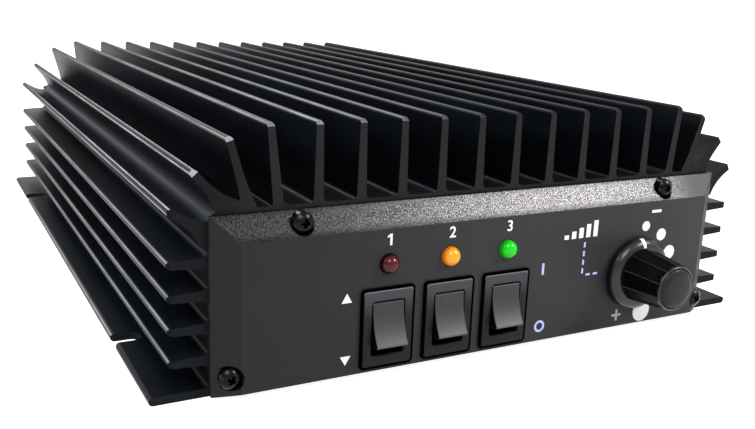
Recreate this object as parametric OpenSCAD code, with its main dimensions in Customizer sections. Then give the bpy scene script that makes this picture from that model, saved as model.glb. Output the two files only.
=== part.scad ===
// Mobile HF linear amplifier: a finned extrusion closed by two bevelled panels and a bottom cover.
// X runs to the right of the front panel, Y runs back, Z is up. The origin is the middle of the underside.

/* [Heatsink] */
// Length of the extruded heatsink
ext_len = 245.5; // [236:0.5:300]
// Outside width of its channel
chan_w = 156; // [154:0.5:190]
// Height of the roof's outer face, where the top fins start
chan_h = 44.5; // [44:0.5:50]
// Thickness of the channel's side walls
wall_t = 3.5; // [3:0.1:4]
// Thickness of the channel's roof
roof_t = 6.5; // [6:0.1:8]
// Radius of the channel's upper outside corners
corner_r = 3; // [1.5:0.5:4]
// Height over the top fins
fin_top = 64; // [58:0.5:80]
// Spacing of the top fins
fin_pitch = 11.3; // [8:0.1:11.5]
// Number of top fins
top_fins = 12; // [6:2:12]
// Fin thickness at the tip
fin_tip = 1.8; // [1.2:0.1:2.2]
// Fin thickness at the root
fin_root = 2.5; // [2.2:0.1:3.5]
// Fillet where a fin meets the channel
fin_fillet = 1.3; // [0.6:0.1:2]
// Chamfer on the ends of the top fins
fin_chamfer = 1; // [0.4:0.1:2]
// Lean of the two outermost top fins
end_lean = 6; // [0:1:10]
// Lean of the first fanned fin
fan_a_lean = 16; // [12:1:22]
// Length of the first fanned fin
fan_a_len = 17.3; // [12:0.1:22]
// Lean of the second fanned fin
fan_b_lean = 41; // [34:1:46]
// Length of the second fanned fin
fan_b_len = 12.4; // [8:0.1:14]
// Lean of the third fanned fin, which stands on the side wall
fan_c_lean = 57; // [52:1:66]
// Length of the third fanned fin
fan_c_len = 10.4; // [8:0.1:12]
// Root thickness of the fanned fins at the corner
fan_root = 6.6; // [3:0.1:8]
// Number of side fins on each wall
side_fins = 4; // [2:1:4]
// Height of the lowest side fin
side_fin_z = 9.2; // [8:0.1:11]
// Spacing of the side fins
side_pitch = 7.85; // [6:0.05:8]
// How far the side fins stand out of the wall
side_reach = 9.3; // [6:0.1:13]
// Width of each mounting flange
flange_w = 14; // [12:0.5:20]
// Thickness of the mounting flanges
flange_t = 2.1; // [1.8:0.1:3]
// Width of the flange slots
slot_w = 6; // [4:0.1:7]
// Depth of the flange slots from the edge
slot_d = 7.5; // [6:0.1:9]
// Distance of the slots from the ends of the extrusion
slot_end = 38; // [20:1:60]

/* [Panels] */
// Thickness of the panel castings
panel_t = 5.24; // [4.8:0.02:7]
// Wall of the castings behind the flat face
panel_skin = 2.2; // [1.8:0.1:3]
// How far the roof stands above the panels
panel_step = 0.8; // [0.3:0.1:1.5]
// Depth of the bevels
bevel_d = 4.1; // [3.4:0.1:4.5]
// Width of the side bevels
bevel_side = 6; // [4:0.1:7]
// Height of the top bevel
bevel_top = 5.9; // [4:0.1:7]
// Height of the bottom bevel
bevel_low = 1.4; // [0.8:0.1:1.8]
// Sideways position of the upper panel screws
top_screw_x = 56.3; // [50:0.1:58]
// Distance of the upper panel screws below the roof's outer face
top_screw_drop = 3.4; // [3:0.1:3.6]
// Distance of the lower panel screws in from the wall's outer face
low_screw_in = 4; // [3.6:0.1:4.4]
// Height of the lower panel screws
low_screw_z = 5.35; // [5:0.05:5.6]
// Diameter of the spot faces round the screw heads
spot_d = 6; // [5.7:0.1:6.4]
// Depth of the spot faces
spot_depth = 3; // [2.4:0.1:3.4]
// Thickness of the bottom cover
cover_t = 1.5; // [1:0.1:2]

/* [Controls] */
// Sideways position of the middle switch
switch_x = -16.5; // [-24:0.1:-14]
// Spacing of the switches
switch_pitch = 17.6; // [16:0.1:19]
// Height of the switches' centre
switch_z = 12.8; // [12.6:0.1:14]
// Width of a switch bezel
bezel_w = 15; // [14.5:0.1:16]
// Height of a switch bezel
bezel_h = 21; // [20.8:0.1:22]
// Height of a switch bezel over the panel
bezel_t = 1; // [0.8:0.1:1.5]
// Width of a rocker
rocker_w = 8.1; // [7:0.1:8.3]
// Reach of a rocker's tips from its pivot
rocker_r = 7.6; // [7.2:0.1:7.7]
// Distance of a rocker's pivot behind the panel's face
pivot_in = 2.4; // [2.2:0.1:3]
// Tilt of a rocker to each side of its middle
rocker_tilt = 16; // [12:1:17]
// Depth of a switch case behind the panel's face
case_d = 15; // [14:0.5:18]
// Height of the lamps' centre
lamp_z = 29.1; // [28.6:0.1:30.5]
// Diameter of a lamp
lamp_d = 5; // [4:0.1:5.6]
// Sideways position of the control knob
knob_x = 46.5; // [44:0.1:50]
// Height of the control knob's centre
knob_z = 17.5; // [17:0.1:19]
// Diameter of the knob's skirt
skirt_d = 22.8; // [21:0.1:25]
// Diameter of the knob's grip at the skirt
grip_d = 15.8; // [15:0.1:17]
// Diameter of the knob's cap
cap_d = 12.8; // [11:0.1:14]
// Length of the knob
knob_len = 17.4; // [16:0.1:24]
// Number of flutes on the grip
flutes = 10; // [6:1:14]
// Diameter of the selector's shaft
shaft_d = 6; // [5:0.1:6.4]

/* [Inside] */
// Thickness of the circuit boards
board_t = 1.6; // [1.2:0.1:2]
// Gap between the roof and the main board
board_gap = 3.4; // [3:0.1:5]
// Gap between the main board's sides and the walls
board_side = 8.5; // [7:0.1:10]
// Gap between the main board's ends and the ends of the extrusion
board_end = 22; // [20:0.5:26]
// Thickness of the power transistors' flanges
tab_t = 2; // [1.5:0.1:2.5]

/* [Sockets] */
// Diameter over the threads of the coaxial sockets
socket_d = 15.86; // [15:0.02:17]
// Length of the sockets' threaded barrels
socket_len = 11.7; // [9:0.1:14]
// Side of the sockets' square flanges
socket_flange = 25.4; // [24:0.1:27]
// Distance between the screws on a socket's flange
socket_screws_at = 18.3; // [17:0.1:19]
// Height of the sockets and the supply gland
socket_z = 20; // [18:0.5:21]
// Bore of the supply gland
gland_bore = 9; // [6:0.5:10]

/* [Hidden] */
$fn = 48;
SIDES = [-1, 1];
// Clearance between a fixed pin or screw and its hole
fit = 0.05;
// Clearance between a moving piece and a fixed one
free = 0.3;
// Running clearance of shafts and pivots, on the radius
run_fit = 0.05;
screw_d = 2.9;
head_d = 5.2;
head_h = 2;
inner_w = chan_w - 2 * wall_t;
inner_h = chan_h - roof_t;
panel_w = chan_w - 0.4;
panel_h = chan_h - panel_step;
top_screw_z = chan_h - top_screw_drop;
low_screw_x = chan_w / 2 - low_screw_in;
front_y = -ext_len / 2 - panel_t;
// Corners of the screw pattern that both panels share
panel_spots = [
  [-top_screw_x, top_screw_z], [top_screw_x, top_screw_z],
  [-low_screw_x, low_screw_z], [low_screw_x, low_screw_z]
];
// The pocket inside each panel, which clears the channel's walls and roof
pocket_w = inner_w - 10;
latch_out = 0.9;
pocket_top = inner_h - 0.5;
// The ribs that take the cover's screws
rib_t = 1.6;
rib_slot = screw_d + 2 * fit;
port_r = 3.1;
cover_screw_x = low_screw_x - port_r - 2 * rib_t - rib_slot / 2 + rib_t / 2;
rib_top = low_screw_z + port_r;
cover_screw_y = ext_len / 2 - 22.75;
// Switches
case_w = 12.8;
case_h = 18.9;
rocker_edge = 49;
rocker_dish = 0.5;
window_w = rocker_w + 2 * free;
pocket_low = switch_z - case_h / 2 - latch_out - free;
window_h = 2 * rocker_r * sin(rocker_edge + rocker_tilt) + 2 * free;
switch_places = [for (i = [-1:1]) switch_x + i * switch_pitch];
// Lamps and their board
lamp_base = 6.1;
strip_y = 9;
strip_h = 8;
strip_x0 = switch_places[0] - 17;
strip_x1 = switch_places[2] + 11;
post_x = [strip_x0 + 3.5, strip_x1 - 3.5];
// Selector
bush_d = 9;
selector_d = 25;
selector_depth = 16;
bush_out = 3.2;
nut_flats = 12;
nut_t = 2;
washer_t = 0.5;
knob_gap = 0.4;
bore_depth = 12;
key_r = 9;
// Main board
board_w = inner_w - 2 * board_side;
board_len = ext_len - 2 * board_end;
board_z = inner_h - board_gap - board_t;
board_top = board_z + board_t;
board_front = -board_len / 2;
board_rear = board_len / 2;
hole_depth = 4.4;
standoff_x = board_w / 2 - 5;
standoff_places = [for (sx = SIDES, y = [board_front + 5, -33, 33, board_rear - 5]) [sx * standoff_x, y]];
// Power transistors, two push-pull pairs in a row across the board
transistor_x = [-45, -15, 15, 45];
tab_l = 24.8;
tab_w = 9.6;
tab_hole = 9.2;
can_r = 4.6;
window_x = tab_w + 0.8;
window_y = tab_l + 1.2;
// Low-pass filter, in the rear part of the board
coil_d = 22;
coil_h = 10;
coil_pitch = 26;
relay_size = [12.8, 29, 15.7];
relay_zone = 54;
coil_columns = floor((board_w - relay_zone) / coil_pitch);
coil_x = [for (i = [0:coil_columns - 1]) i * coil_pitch + 20 - board_w / 2];
coil_rows = [board_rear - 36, board_rear - 12];
relay_places = [
  [board_w / 2 - 34, board_rear - 25], [board_w / 2 - 17, board_rear - 25], [-24, board_front + 42]
];
// Output transformer, just ahead of the filter coils
sleeve_w = 14.4;
sleeve_l = 26;
tube_plate = 0.8;
tube_lip = 1;
transformer_y = coil_rows[0] - coil_d / 2 - 2 * free - tube_plate - tube_lip - sleeve_l / 2;
// Rear sockets, in the rear panel's own frame
socket_x = [-52, -20];
gland_x = 48;
socket_core = 10;
contact_d = 5.2;
pin_bore = 4;
link_w = 3;

// Front panel's frame: y is 0 on its flat face and grows inwards
module at_front() {
  translate([0, front_y, 0]) children();
}

// Rear panel's frame, the same seen from behind
module at_rear() {
  rotate([0, 0, 180]) at_front() children();
}

// Round bar along Y
module rod(d, y0, y1) {
  translate([0, y1, 0]) rotate([90, 0, 0]) cylinder(d = d, h = y1 - y0);
}

// Outline in Y and Z, given a width along X
module across(w) {
  rotate([90, 0, 90]) linear_extrude(w, center = true) children();
}

// Outline in X and Z, from y0 to y1
module along(y0, y1) {
  translate([0, y1, 0]) rotate([90, 0, 0]) linear_extrude(y1 - y0) children();
}

// Rectangle with round corners, centred
module round_rect(w, h, r) {
  square([w - 2 * r, h], center = true);
  square([w, h - 2 * r], center = true);
  for (sx = SIDES, sy = SIDES) translate([sx * (w / 2 - r), sy * (h / 2 - r)]) circle(r);
}

// Pan head screw pointing along +Y, its head seated at y = 0
module pan_screw(len) {
  difference() {
    rotate([90, 0, 0]) rotate_extrude() intersection() {
      square([head_d / 2, head_h]);
      translate([0, head_h - head_d * 0.95]) circle(head_d * 0.95);
    }
    for (a = [0, 90]) translate([0, -head_h, 0]) rotate([0, a, 0]) cube([3, 2, 0.8], center = true);
  }
  rod(screw_d, 0, len);
}

// Hexagonal or round piece along Z
module peg(d, z0, z1, sides = 48) {
  translate([0, 0, z0]) cylinder(d = d, h = z1 - z0, $fn = sides);
}

// ---- Heatsink ----

// Points of an arc about c, from angle a0 to a1 in n steps
function arc(c, r, a0, a1, n) =
  [for (i = [0:n]) c + r * [cos(a0 + (a1 - a0) * i / n), sin(a0 + (a1 - a0) * i / n)]];

// Upright fin on a flat floor, tapered, with a round tip and a filleted foot
module straight_fin(h) {
  foot = fin_root / 2;
  polygon(concat(
    [[foot + fin_fillet, -1]],
    arc([foot + fin_fillet, fin_fillet], fin_fillet, 270, 180, 4),
    arc([0, h - fin_tip / 2], fin_tip / 2, 0, 180, 6),
    arc([-foot - fin_fillet, fin_fillet], fin_fillet, 0, -90, 4),
    [[-foot - fin_fillet, -1]]
  ));
}

// Half thickness of a fanned fin at the share s of its length, flaring towards the root
function flare(s, root) = fin_tip / 2 + (root - fin_tip) / 2 * pow(1 - s, 3);

// Fanned fin, leaning out from upright, with a flared root sunk into the channel
module fan_fin(len, root, sink) {
  steps = 8;
  body = len - fin_tip / 2;
  right = [for (i = [0:steps - 1]) [flare(i / steps, root), body * i / steps]];
  left = [for (i = [steps - 1:-1:0]) [-flare(i / steps, root), body * i / steps]];
  tip = arc([0, body], fin_tip / 2, 0, 180, 6);
  polygon(concat([[root / 2, -sink]], right, tip, left, [[-root / 2, -sink]]));
}

// The right half of the extrusion's fins and flange
module half_fins() {
  wall_x = chan_w / 2;
  for (i = [0:top_fins / 2 - 2]) translate([(i + 0.5) * fin_pitch, chan_h]) straight_fin(fin_top - chan_h);
  translate([(top_fins / 2 - 0.5) * fin_pitch - 1.2, chan_h]) rotate(-end_lean)
    straight_fin((fin_top - chan_h) / cos(end_lean));
  translate([wall_x - 9.9, chan_h]) rotate(-fan_a_lean) fan_fin(fan_a_len, fin_root * 1.5, 2);
  translate([wall_x - 4.9, chan_h]) rotate(-fan_b_lean) fan_fin(fan_b_len, fan_root, 3);
  translate([wall_x, chan_h - 5]) rotate(-fan_c_lean) fan_fin(fan_c_len, fan_root, 2);
  for (i = [0:side_fins - 1]) translate([wall_x, side_fin_z + i * side_pitch]) rotate(-90)
    straight_fin(side_reach);
  polygon(concat(
    [[wall_x - 1, 0]],
    arc([wall_x + flange_w - flange_t / 2, flange_t / 2], flange_t / 2, -90, 90, 6),
    arc([wall_x + fin_fillet, flange_t + fin_fillet], fin_fillet, 270, 180, 4),
    [[wall_x - 1, flange_t + fin_fillet]]
  ));
}

// The channel: walls, roof, screw ports and the ribs for the cover's screws
module channel_outline() {
  difference() {
    union() {
      difference() {
        union() {
          translate([-chan_w / 2, 0]) square([chan_w, chan_h - corner_r]);
          translate([corner_r - chan_w / 2, 0]) square([chan_w - 2 * corner_r, chan_h]);
          for (s = SIDES) translate([s * (chan_w / 2 - corner_r), chan_h - corner_r]) circle(corner_r);
        }
        translate([-inner_w / 2, -1]) square([inner_w, inner_h + 1]);
      }
      for (s = SIDES) mirror([s > 0 ? 0 : 1, 0]) port_and_ribs();
    }
    for (s = SIDES) {
      translate([s * top_screw_x, top_screw_z]) circle(d = screw_d + 2 * fit);
      translate([s * top_screw_x - 0.6, inner_h - 1]) square([1.2, top_screw_z - inner_h + 1]);
      translate([s * low_screw_x, low_screw_z]) circle(d = screw_d + 2 * fit);
      translate([s * (low_screw_x - port_r / 2 - 0.5), low_screw_z]) square([port_r + 1, 1.2], center = true);
    }
  }
}

// Round port for a low panel screw, and the two ribs beside it
module port_and_ribs() {
  translate([low_screw_x, low_screw_z]) circle(port_r);
  translate([cover_screw_x - rib_slot / 2 - rib_t, rib_top - rib_t])
    square([inner_w / 2 + 1 - cover_screw_x + rib_slot / 2 + rib_t, rib_t]);
  for (x = [cover_screw_x - rib_slot / 2 - rib_t, cover_screw_x + rib_slot / 2])
    translate([x, cover_t]) square([rib_t, rib_top - cover_t]);
}

// Open slot in a flange's edge, with round inner end and eased mouth
module flange_slot() {
  translate([chan_w / 2 + flange_w, 0, flange_t / 2]) {
    translate([-slot_d + slot_w / 2, 0, 0]) cylinder(d = slot_w, h = 2 * flange_t, center = true);
    translate([-(slot_d - slot_w / 2) / 2 + 1, 0, 0])
      cube([slot_d - slot_w / 2 + 2, slot_w, 2 * flange_t], center = true);
    for (s = SIDES) mirror([0, s > 0 ? 0 : 1, 0]) translate([0, slot_w / 2, 0]) difference() {
      translate([-1, -0.1, -flange_t]) cube([2, 1.1, 2 * flange_t]);
      translate([-1, 1, 0]) cylinder(r = 1, h = 3 * flange_t, center = true);
    }
  }
}

// Chamfer on the end of a fin's tip, across its thickness w
module corner_cut(w) {
  rotate([45, 0, 0]) cube([w, fin_chamfer * sqrt(2), fin_chamfer * sqrt(2)], center = true);
}

// Place at the tip of a fin that leans out from (x, z)
module fan_tip(x, z, lean, len) {
  translate([x, 0, z]) rotate([0, lean, 0]) translate([0, 0, len]) children();
}

module heatsink_extrusion() {
  color("#1b1c1e") difference() {
    along(-ext_len / 2, ext_len / 2) {
      channel_outline();
      for (s = SIDES) mirror([s > 0 ? 0 : 1, 0]) half_fins();
    }
    for (s = SIDES) translate([0, s * ext_len / 2, 0]) {
      translate([0, 0, fin_top]) corner_cut(chan_w);
      for (sx = SIDES) mirror([sx > 0 ? 0 : 1, 0, 0]) {
        fan_tip(chan_w / 2 - 9.9, chan_h, fan_a_lean, fan_a_len) corner_cut(6);
        fan_tip(chan_w / 2 - 4.9, chan_h, fan_b_lean, fan_b_len) corner_cut(6);
        fan_tip(chan_w / 2, chan_h - 5, fan_c_lean, fan_c_len) corner_cut(4);
        for (i = [0:side_fins - 1]) fan_tip(chan_w / 2, side_fin_z + i * side_pitch, 90, side_reach)
          corner_cut(4);
      }
    }
    for (sx = SIDES, sy = SIDES) mirror([sx > 0 ? 0 : 1, 0, 0])
      translate([0, sy * (ext_len / 2 - slot_end), 0]) flange_slot();
    for (p = standoff_places) translate(p) peg(screw_d + 2 * fit, inner_h - 1, inner_h + hole_depth);
    for (x = transistor_x, s = SIDES) translate([x, s * tab_hole, 0])
      peg(screw_d + 2 * fit, inner_h - 1, inner_h + hole_depth);
  }
}

// ---- Panels and cover ----

// Casting that both panels share: bevelled block, hollow behind, with spot-faced screw holes
module panel_blank() {
  w = panel_w / 2;
  difference() {
    intersection() {
      linear_extrude(panel_h) polygon([
        [bevel_side - w, 0], [-w, bevel_d], [-w, panel_t], [w, panel_t], [w, bevel_d], [w - bevel_side, 0]
      ]);
      across(panel_w) polygon([
        [0, bevel_low], [bevel_d, 0], [panel_t, 0], [panel_t, panel_h],
        [bevel_d, panel_h], [0, panel_h - bevel_top]
      ]);
    }
    translate([-pocket_w / 2, panel_skin, pocket_low]) cube([pocket_w, panel_t, pocket_top - pocket_low]);
    for (p = panel_spots) translate([p[0], 0, p[1]]) {
      rod(spot_d, -1, spot_depth);
      rod(screw_d + 0.3, 0, panel_t + 1);
    }
  }
}

// Posts that carry the indicator board, cast on the front panel
module board_posts() {
  for (x = post_x) translate([x, 0, lamp_z]) difference() {
    rod(5.2, panel_skin - 0.1, strip_y);
    rod(2.5, panel_skin + 1, strip_y + 1);
  }
}

module front_panel() {
  color("#3b3b3d") at_front() {
    difference() {
      union() {
        panel_blank();
        board_posts();
      }
      for (x = switch_places) translate([x - case_w / 2 - 0.1, -1, switch_z - case_h / 2 - 0.1])
        cube([case_w + 0.2, panel_t, case_h + 0.2]);
      for (x = switch_places) translate([x, 0, lamp_z]) rod(lamp_d + 2 * fit, -1, panel_t);
      translate([knob_x, 0, knob_z]) {
        rod(bush_d + 2 * fit, -1, panel_t);
        translate([0, 0, key_r]) rod(2 + 2 * fit, panel_skin - 1.2, panel_t);
      }
    }
  }
}

module rear_panel() {
  color("#333436") at_rear() difference() {
    panel_blank();
    for (x = socket_x) translate([x, 0, socket_z]) {
      rod(socket_core + 2.2, -1, panel_t);
      for (sx = SIDES, sz = SIDES) translate([sx * socket_screws_at / 2, 0, sz * socket_screws_at / 2])
        rod(screw_d + 2 * fit, -1, panel_t);
    }
    translate([gland_x, 0, socket_z]) rod(14, -1, panel_t);
  }
}

// Flat sheet between the walls, seated on the ribs
module bottom_cover() {
  color("#2b2c2e") difference() {
    translate([-inner_w / 2 + 0.1, -ext_len / 2, 0]) cube([inner_w - 0.2, ext_len, cover_t]);
    for (sx = SIDES, y = [-cover_screw_y, 0, cover_screw_y]) translate([sx * cover_screw_x, y, 0]) {
      translate([0, 0, -1]) cylinder(d = screw_d + 0.3, h = cover_t + 2);
      translate([0, 0, -0.01]) cylinder(d1 = 5.6, d2 = screw_d + 0.3, h = 1.3);
    }
  }
}

// Screws of one panel, in its own frame
module panel_screws() {
  for (p = panel_spots) translate([p[0], spot_depth, p[1]]) pan_screw(12);
}

module front_panel_screws() {
  color("#141416") at_front() panel_screws();
}

module rear_panel_screws() {
  color("#141416") at_rear() panel_screws();
}

// Countersunk screws, flush with the cover
module bottom_cover_screws() {
  color("#141416") for (sx = SIDES, y = [-cover_screw_y, 0, cover_screw_y])
    translate([sx * cover_screw_x, y, 0]) difference() {
      union() {
        translate([0, 0, 0.05]) cylinder(d1 = 5.4, d2 = screw_d, h = 1.2);
        peg(screw_d, 0.05, rib_top - rib_t - 0.6);
      }
      for (a = [0, 90]) rotate(a) cube([2.6, 0.7, 1.2], center = true);
    }
}

// ---- Switches ----

// Case with its bezel: a raised rim, a stepped edge, and the hollow that the rocker works in
module switch_case() {
  difference() {
    union() {
      along(-0.4, 0) round_rect(bezel_w, bezel_h, 1.2);
      along(-bezel_t + 0.3, -0.3) round_rect(bezel_w - 1, bezel_h - 1, 1);
      along(-bezel_t, -bezel_t + 0.4) round_rect(bezel_w - 1.6, bezel_h - 1.6, 0.9);
      translate([-case_w / 2, -0.1, -case_h / 2]) cube([case_w, case_d + 0.1, case_h]);
      for (s = SIDES) mirror([0, 0, s > 0 ? 0 : 1]) across(6) polygon([
        [panel_skin + fit, case_h / 2 - 0.2], [panel_skin + fit, case_h / 2 + latch_out],
        [panel_skin + 5, case_h / 2 - 0.2]
      ]);
    }
    along(-bezel_t - 1, -bezel_t + 4) round_rect(window_w, window_h, 0.9);
    translate([-window_w / 2, 0, -window_h / 2 - 0.4]) cube([window_w, pivot_in + 6, window_h + 0.8]);
    translate([0, pivot_in, 0]) rotate([0, 90, 0])
      cylinder(r = 1 + run_fit, h = window_w + 2.6, center = true);
    for (z = [-4.7, 4.7]) translate([-2.4 - fit, 0, z - 0.4 - fit])
      cube([4.8 + 2 * fit, case_d + 1, 0.8 + 2 * fit]);
  }
}

// Rocker in its middle position, about a pivot at the origin; its dished face looks along -Y
module rocker_body() {
  tip_y = rocker_r * cos(rocker_edge);
  tip_z = rocker_r * sin(rocker_edge);
  dish_r = (tip_z * tip_z + rocker_dish * rocker_dish) / (2 * rocker_dish);
  across(rocker_w) difference() {
    union() {
      polygon([
        [-tip_y, -tip_z + 0.3], [-tip_y + 0.5, -tip_z], [0, -tip_z + 0.4], [1.6, -2.4], [1.6, 2.4],
        [0, tip_z - 0.4], [-tip_y + 0.5, tip_z], [-tip_y, tip_z - 0.3]
      ]);
      circle(1.9);
    }
    translate([-tip_y - dish_r + rocker_dish, 0]) circle(dish_r, $fn = 96);
  }
  rotate([0, 90, 0]) cylinder(r = 1, h = window_w + 2.2, center = true);
}

// Rocker as it rests, its upper end pressed in
module rocker() {
  translate([0, pivot_in, 0]) rotate([-rocker_tilt, 0, 0]) rocker_body();
}

module at_switch(i) {
  at_front() translate([switch_places[i], 0, switch_z]) children();
}

module mode_switch_case() {
  color("#2f3032") at_switch(0) switch_case();
}

module preamp_switch_case() {
  color("#2f3032") at_switch(1) switch_case();
}

module power_switch_case() {
  color("#2f3032") at_switch(2) switch_case();
}

module mode_rocker() {
  color("#38393b") at_switch(0) rocker();
}

module preamp_rocker() {
  color("#38393b") at_switch(1) rocker();
}

module power_rocker() {
  color("#38393b") at_switch(2) rocker();
}

// Two blades on the back of each switch
module switch_terminals() {
  color("#b59a5a") for (i = [0:2], z = [-4.7, 4.7]) at_switch(i)
    translate([0, 0, z]) difference() {
      translate([-2.4, case_d - 4, -0.4]) cube([4.8, 11, 0.8]);
      translate([0, case_d + 4.6, 0]) cylinder(d = 1.8, h = 3, center = true);
    }
}

// ---- Lamps ----

// Dome, body and foot of one lamp
module lamp() {
  foot = 1;
  rotate([90, 0, 0]) rotate_extrude() {
    translate([0, -lamp_base]) square([lamp_d / 2 + 0.4, foot]);
    translate([0, -lamp_base]) square([lamp_d / 2, lamp_base]);
    intersection() {
      circle(lamp_d / 2);
      square(lamp_d);
    }
  }
}

module at_lamp(i) {
  at_front() translate([switch_places[i], 0, lamp_z]) children();
}

module transmit_lamp() {
  color("#5c0f12") at_lamp(0) lamp();
}

module preamp_lamp() {
  color("#f2a21b") at_lamp(1) lamp();
}

module power_lamp() {
  color("#2fae3a") at_lamp(2) lamp();
}

module lamp_leads() {
  color("#c8c9cb") for (i = [0:2], s = SIDES) at_lamp(i)
    translate([s * 1.27, 0, 0]) rod(0.6, lamp_base, strip_y + board_t + 1);
}

// Narrow board behind the lamps, on the front panel's posts
module indicator_board() {
  color("#2d5b34") at_front() difference() {
    translate([strip_x0, strip_y, lamp_z - strip_h / 2]) cube([strip_x1 - strip_x0, board_t, strip_h]);
    for (x = post_x) translate([x, 0, lamp_z]) rod(screw_d + 0.3, strip_y - 1, strip_y + board_t + 1);
    for (x = switch_places, s = SIDES) translate([x + s * 1.27, 0, lamp_z])
      rod(0.6 + 2 * fit, strip_y - 1, strip_y + board_t + 1);
  }
}

module indicator_board_screws() {
  color("#c8c9cb") at_front() for (x = post_x) translate([x, strip_y + board_t, lamp_z]) mirror([0, 1, 0]) {
    rod(4.4, -1.6, 0);
    rod(2.4, 0, 6);
  }
}

// ---- Output selector ----

module at_knob() {
  at_front() translate([knob_x, 0, knob_z]) children();
}

// Outline of the knob: radius along x, distance from the panel along y
module knob_outline() {
  skirt_r = skirt_d / 2;
  skirt_edge = 1.1;
  skirt_round = 2.4;
  skirt_top = knob_gap + skirt_edge + skirt_round;
  translate([0, knob_gap]) square([skirt_r, skirt_edge]);
  translate([0, knob_gap]) square([skirt_r - skirt_round, skirt_edge + skirt_round]);
  intersection() {
    translate([skirt_r - skirt_round, knob_gap + skirt_edge]) circle(skirt_round);
    translate([0, knob_gap]) square(skirt_d);
  }
  polygon([
    [0, knob_gap], [grip_d / 2, knob_gap], [grip_d / 2, skirt_top],
    [cap_d / 2, knob_len - 0.8], [cap_d / 2 - 0.6, knob_len - 0.2], [0, knob_len - 0.2]
  ]);
  intersection() {
    translate([0, knob_len - 30]) circle(30, $fn = 96);
    translate([0, knob_len - 2]) square([cap_d / 2 - 1.1, 3]);
  }
}

// Skirted knob with a fluted grip, hollow over the nut
module output_knob() {
  flute_d = 3.4;
  color("#17171a") at_knob() difference() {
    rotate([90, 0, 0]) rotate_extrude() knob_outline();
    for (i = [0:flutes - 1]) rotate([0, (i + 0.5) * 360 / flutes, 0])
      flute(grip_d / 2 + flute_d * 0.33, cap_d / 2 + flute_d * 0.33, flute_d);
    rod(14.4, -3.8, 1);
    shaft_profile(shaft_d + 2 * fit, -13.4, 1);
  }
}

// Groove down the grip, following its taper
module flute(r0, r1, d) {
  taper = atan((r0 - r1) / knob_len);
  translate([r0, 0, 0]) rotate([0, 0, taper]) rod(d, -knob_len * 2, -4.6);
}

// Shaft with a flat, along Y
module shaft_profile(d, y0, y1) {
  intersection() {
    rod(d, y0, y1);
    translate([-d, y0, -d]) cube([2 * d, y1 - y0, 1.75 * d - (d - shaft_d) / 4]);
  }
}

module selector_shaft() {
  color("#b8babd") at_knob() {
    shaft_profile(shaft_d, -13.1, -bush_out - 0.2);
    rod(shaft_d, -bush_out - 0.3, bore_depth - 0.2);
  }
}

// Round switch body with its threaded bush and locating key
module selector_body() {
  color("#4a4238") at_knob() difference() {
    union() {
      rod(bush_d, -bush_out, panel_skin + 0.1);
      rod(selector_d, panel_skin, panel_skin + selector_depth);
      translate([0, 0, key_r]) rod(2, panel_skin - 1.1, panel_skin + 0.1);
    }
    rod(shaft_d + 2 * run_fit, -bush_out - 1, bore_depth);
  }
}

module selector_washer() {
  color("#b8babd") at_knob() difference() {
    rod(13, -washer_t, 0);
    rod(bush_d + 2 * fit, -1, 1);
  }
}

module selector_nut() {
  color("#b8babd") at_knob() difference() {
    rotate([90, 0, 0]) peg(nut_flats / cos(30), washer_t, washer_t + nut_t, 6);
    rod(bush_d + 2 * fit, -nut_t - 1, 1);
  }
}

// One common and six step terminals on the back of the selector
module selector_terminals() {
  back = panel_skin + selector_depth;
  color("#b59a5a") at_knob() for (a = [-150:50:150]) rotate([0, a, 0])
    translate([-1, back, 8.6]) cube([2, 4.5, 0.5]);
}

// ---- Main board ----

module main_board() {
  color("#2d5b34") difference() {
    translate([-board_w / 2, board_front, board_z]) cube([board_w, board_len, board_t]);
    for (p = standoff_places) translate(p) peg(screw_d + 0.3, board_z - 1, board_top + 1);
    for (x = transistor_x) translate([x - window_x / 2, -window_y / 2, board_z - 1])
      cube([window_x, window_y, board_t + 2]);
  }
}

module board_standoffs() {
  color("#c9a64e") for (p = standoff_places) translate(p) difference() {
    peg(5.5 / cos(30), board_top, inner_h, 6);
    peg(screw_d + 2 * fit, board_top - 1, inner_h + 1);
  }
}

module board_screws() {
  color("#c8c9cb") for (p = standoff_places) translate(p) {
    peg(head_d, board_z - head_h, board_z);
    peg(screw_d, board_z - 0.1, inner_h + hole_depth - 0.4);
  }
}

// Flanged transistor: plate on the roof, ceramic can, and two wide leads on the board
module power_transistors() {
  color("#d8d2c4") for (x = transistor_x) translate([x, 0, 0]) {
    difference() {
      union() {
        translate([0, 0, inner_h - tab_t]) linear_extrude(tab_t) round_rect(tab_w, tab_l, 1.6);
        peg(2 * can_r, board_top - 2.2, inner_h - tab_t + 0.1);
        translate([-11, -2.8, board_top]) cube([22, 5.6, 0.2]);
      }
      for (s = SIDES) translate([0, s * tab_hole, 0]) peg(screw_d + 0.3, inner_h - tab_t - 1, inner_h + 1);
    }
  }
}

module transistor_screws() {
  color("#c8c9cb") for (x = transistor_x, s = SIDES) translate([x, s * tab_hole, 0]) {
    peg(head_d, inner_h - tab_t - head_h, inner_h - tab_t);
    peg(screw_d, inner_h - tab_t - 0.1, inner_h + hole_depth - 0.4);
  }
}

// ---- Transformers ----

// Two ferrite sleeves side by side under the board, each with a bore along Y
module sleeve_cores(w, l, bore) {
  for (s = SIDES) translate([s * w / 2, 0, board_z - w / 2]) difference() {
    along(-l / 2, l / 2) round_rect(w, w, w / 8);
    rod(bore, -l, l);
  }
}

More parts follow.
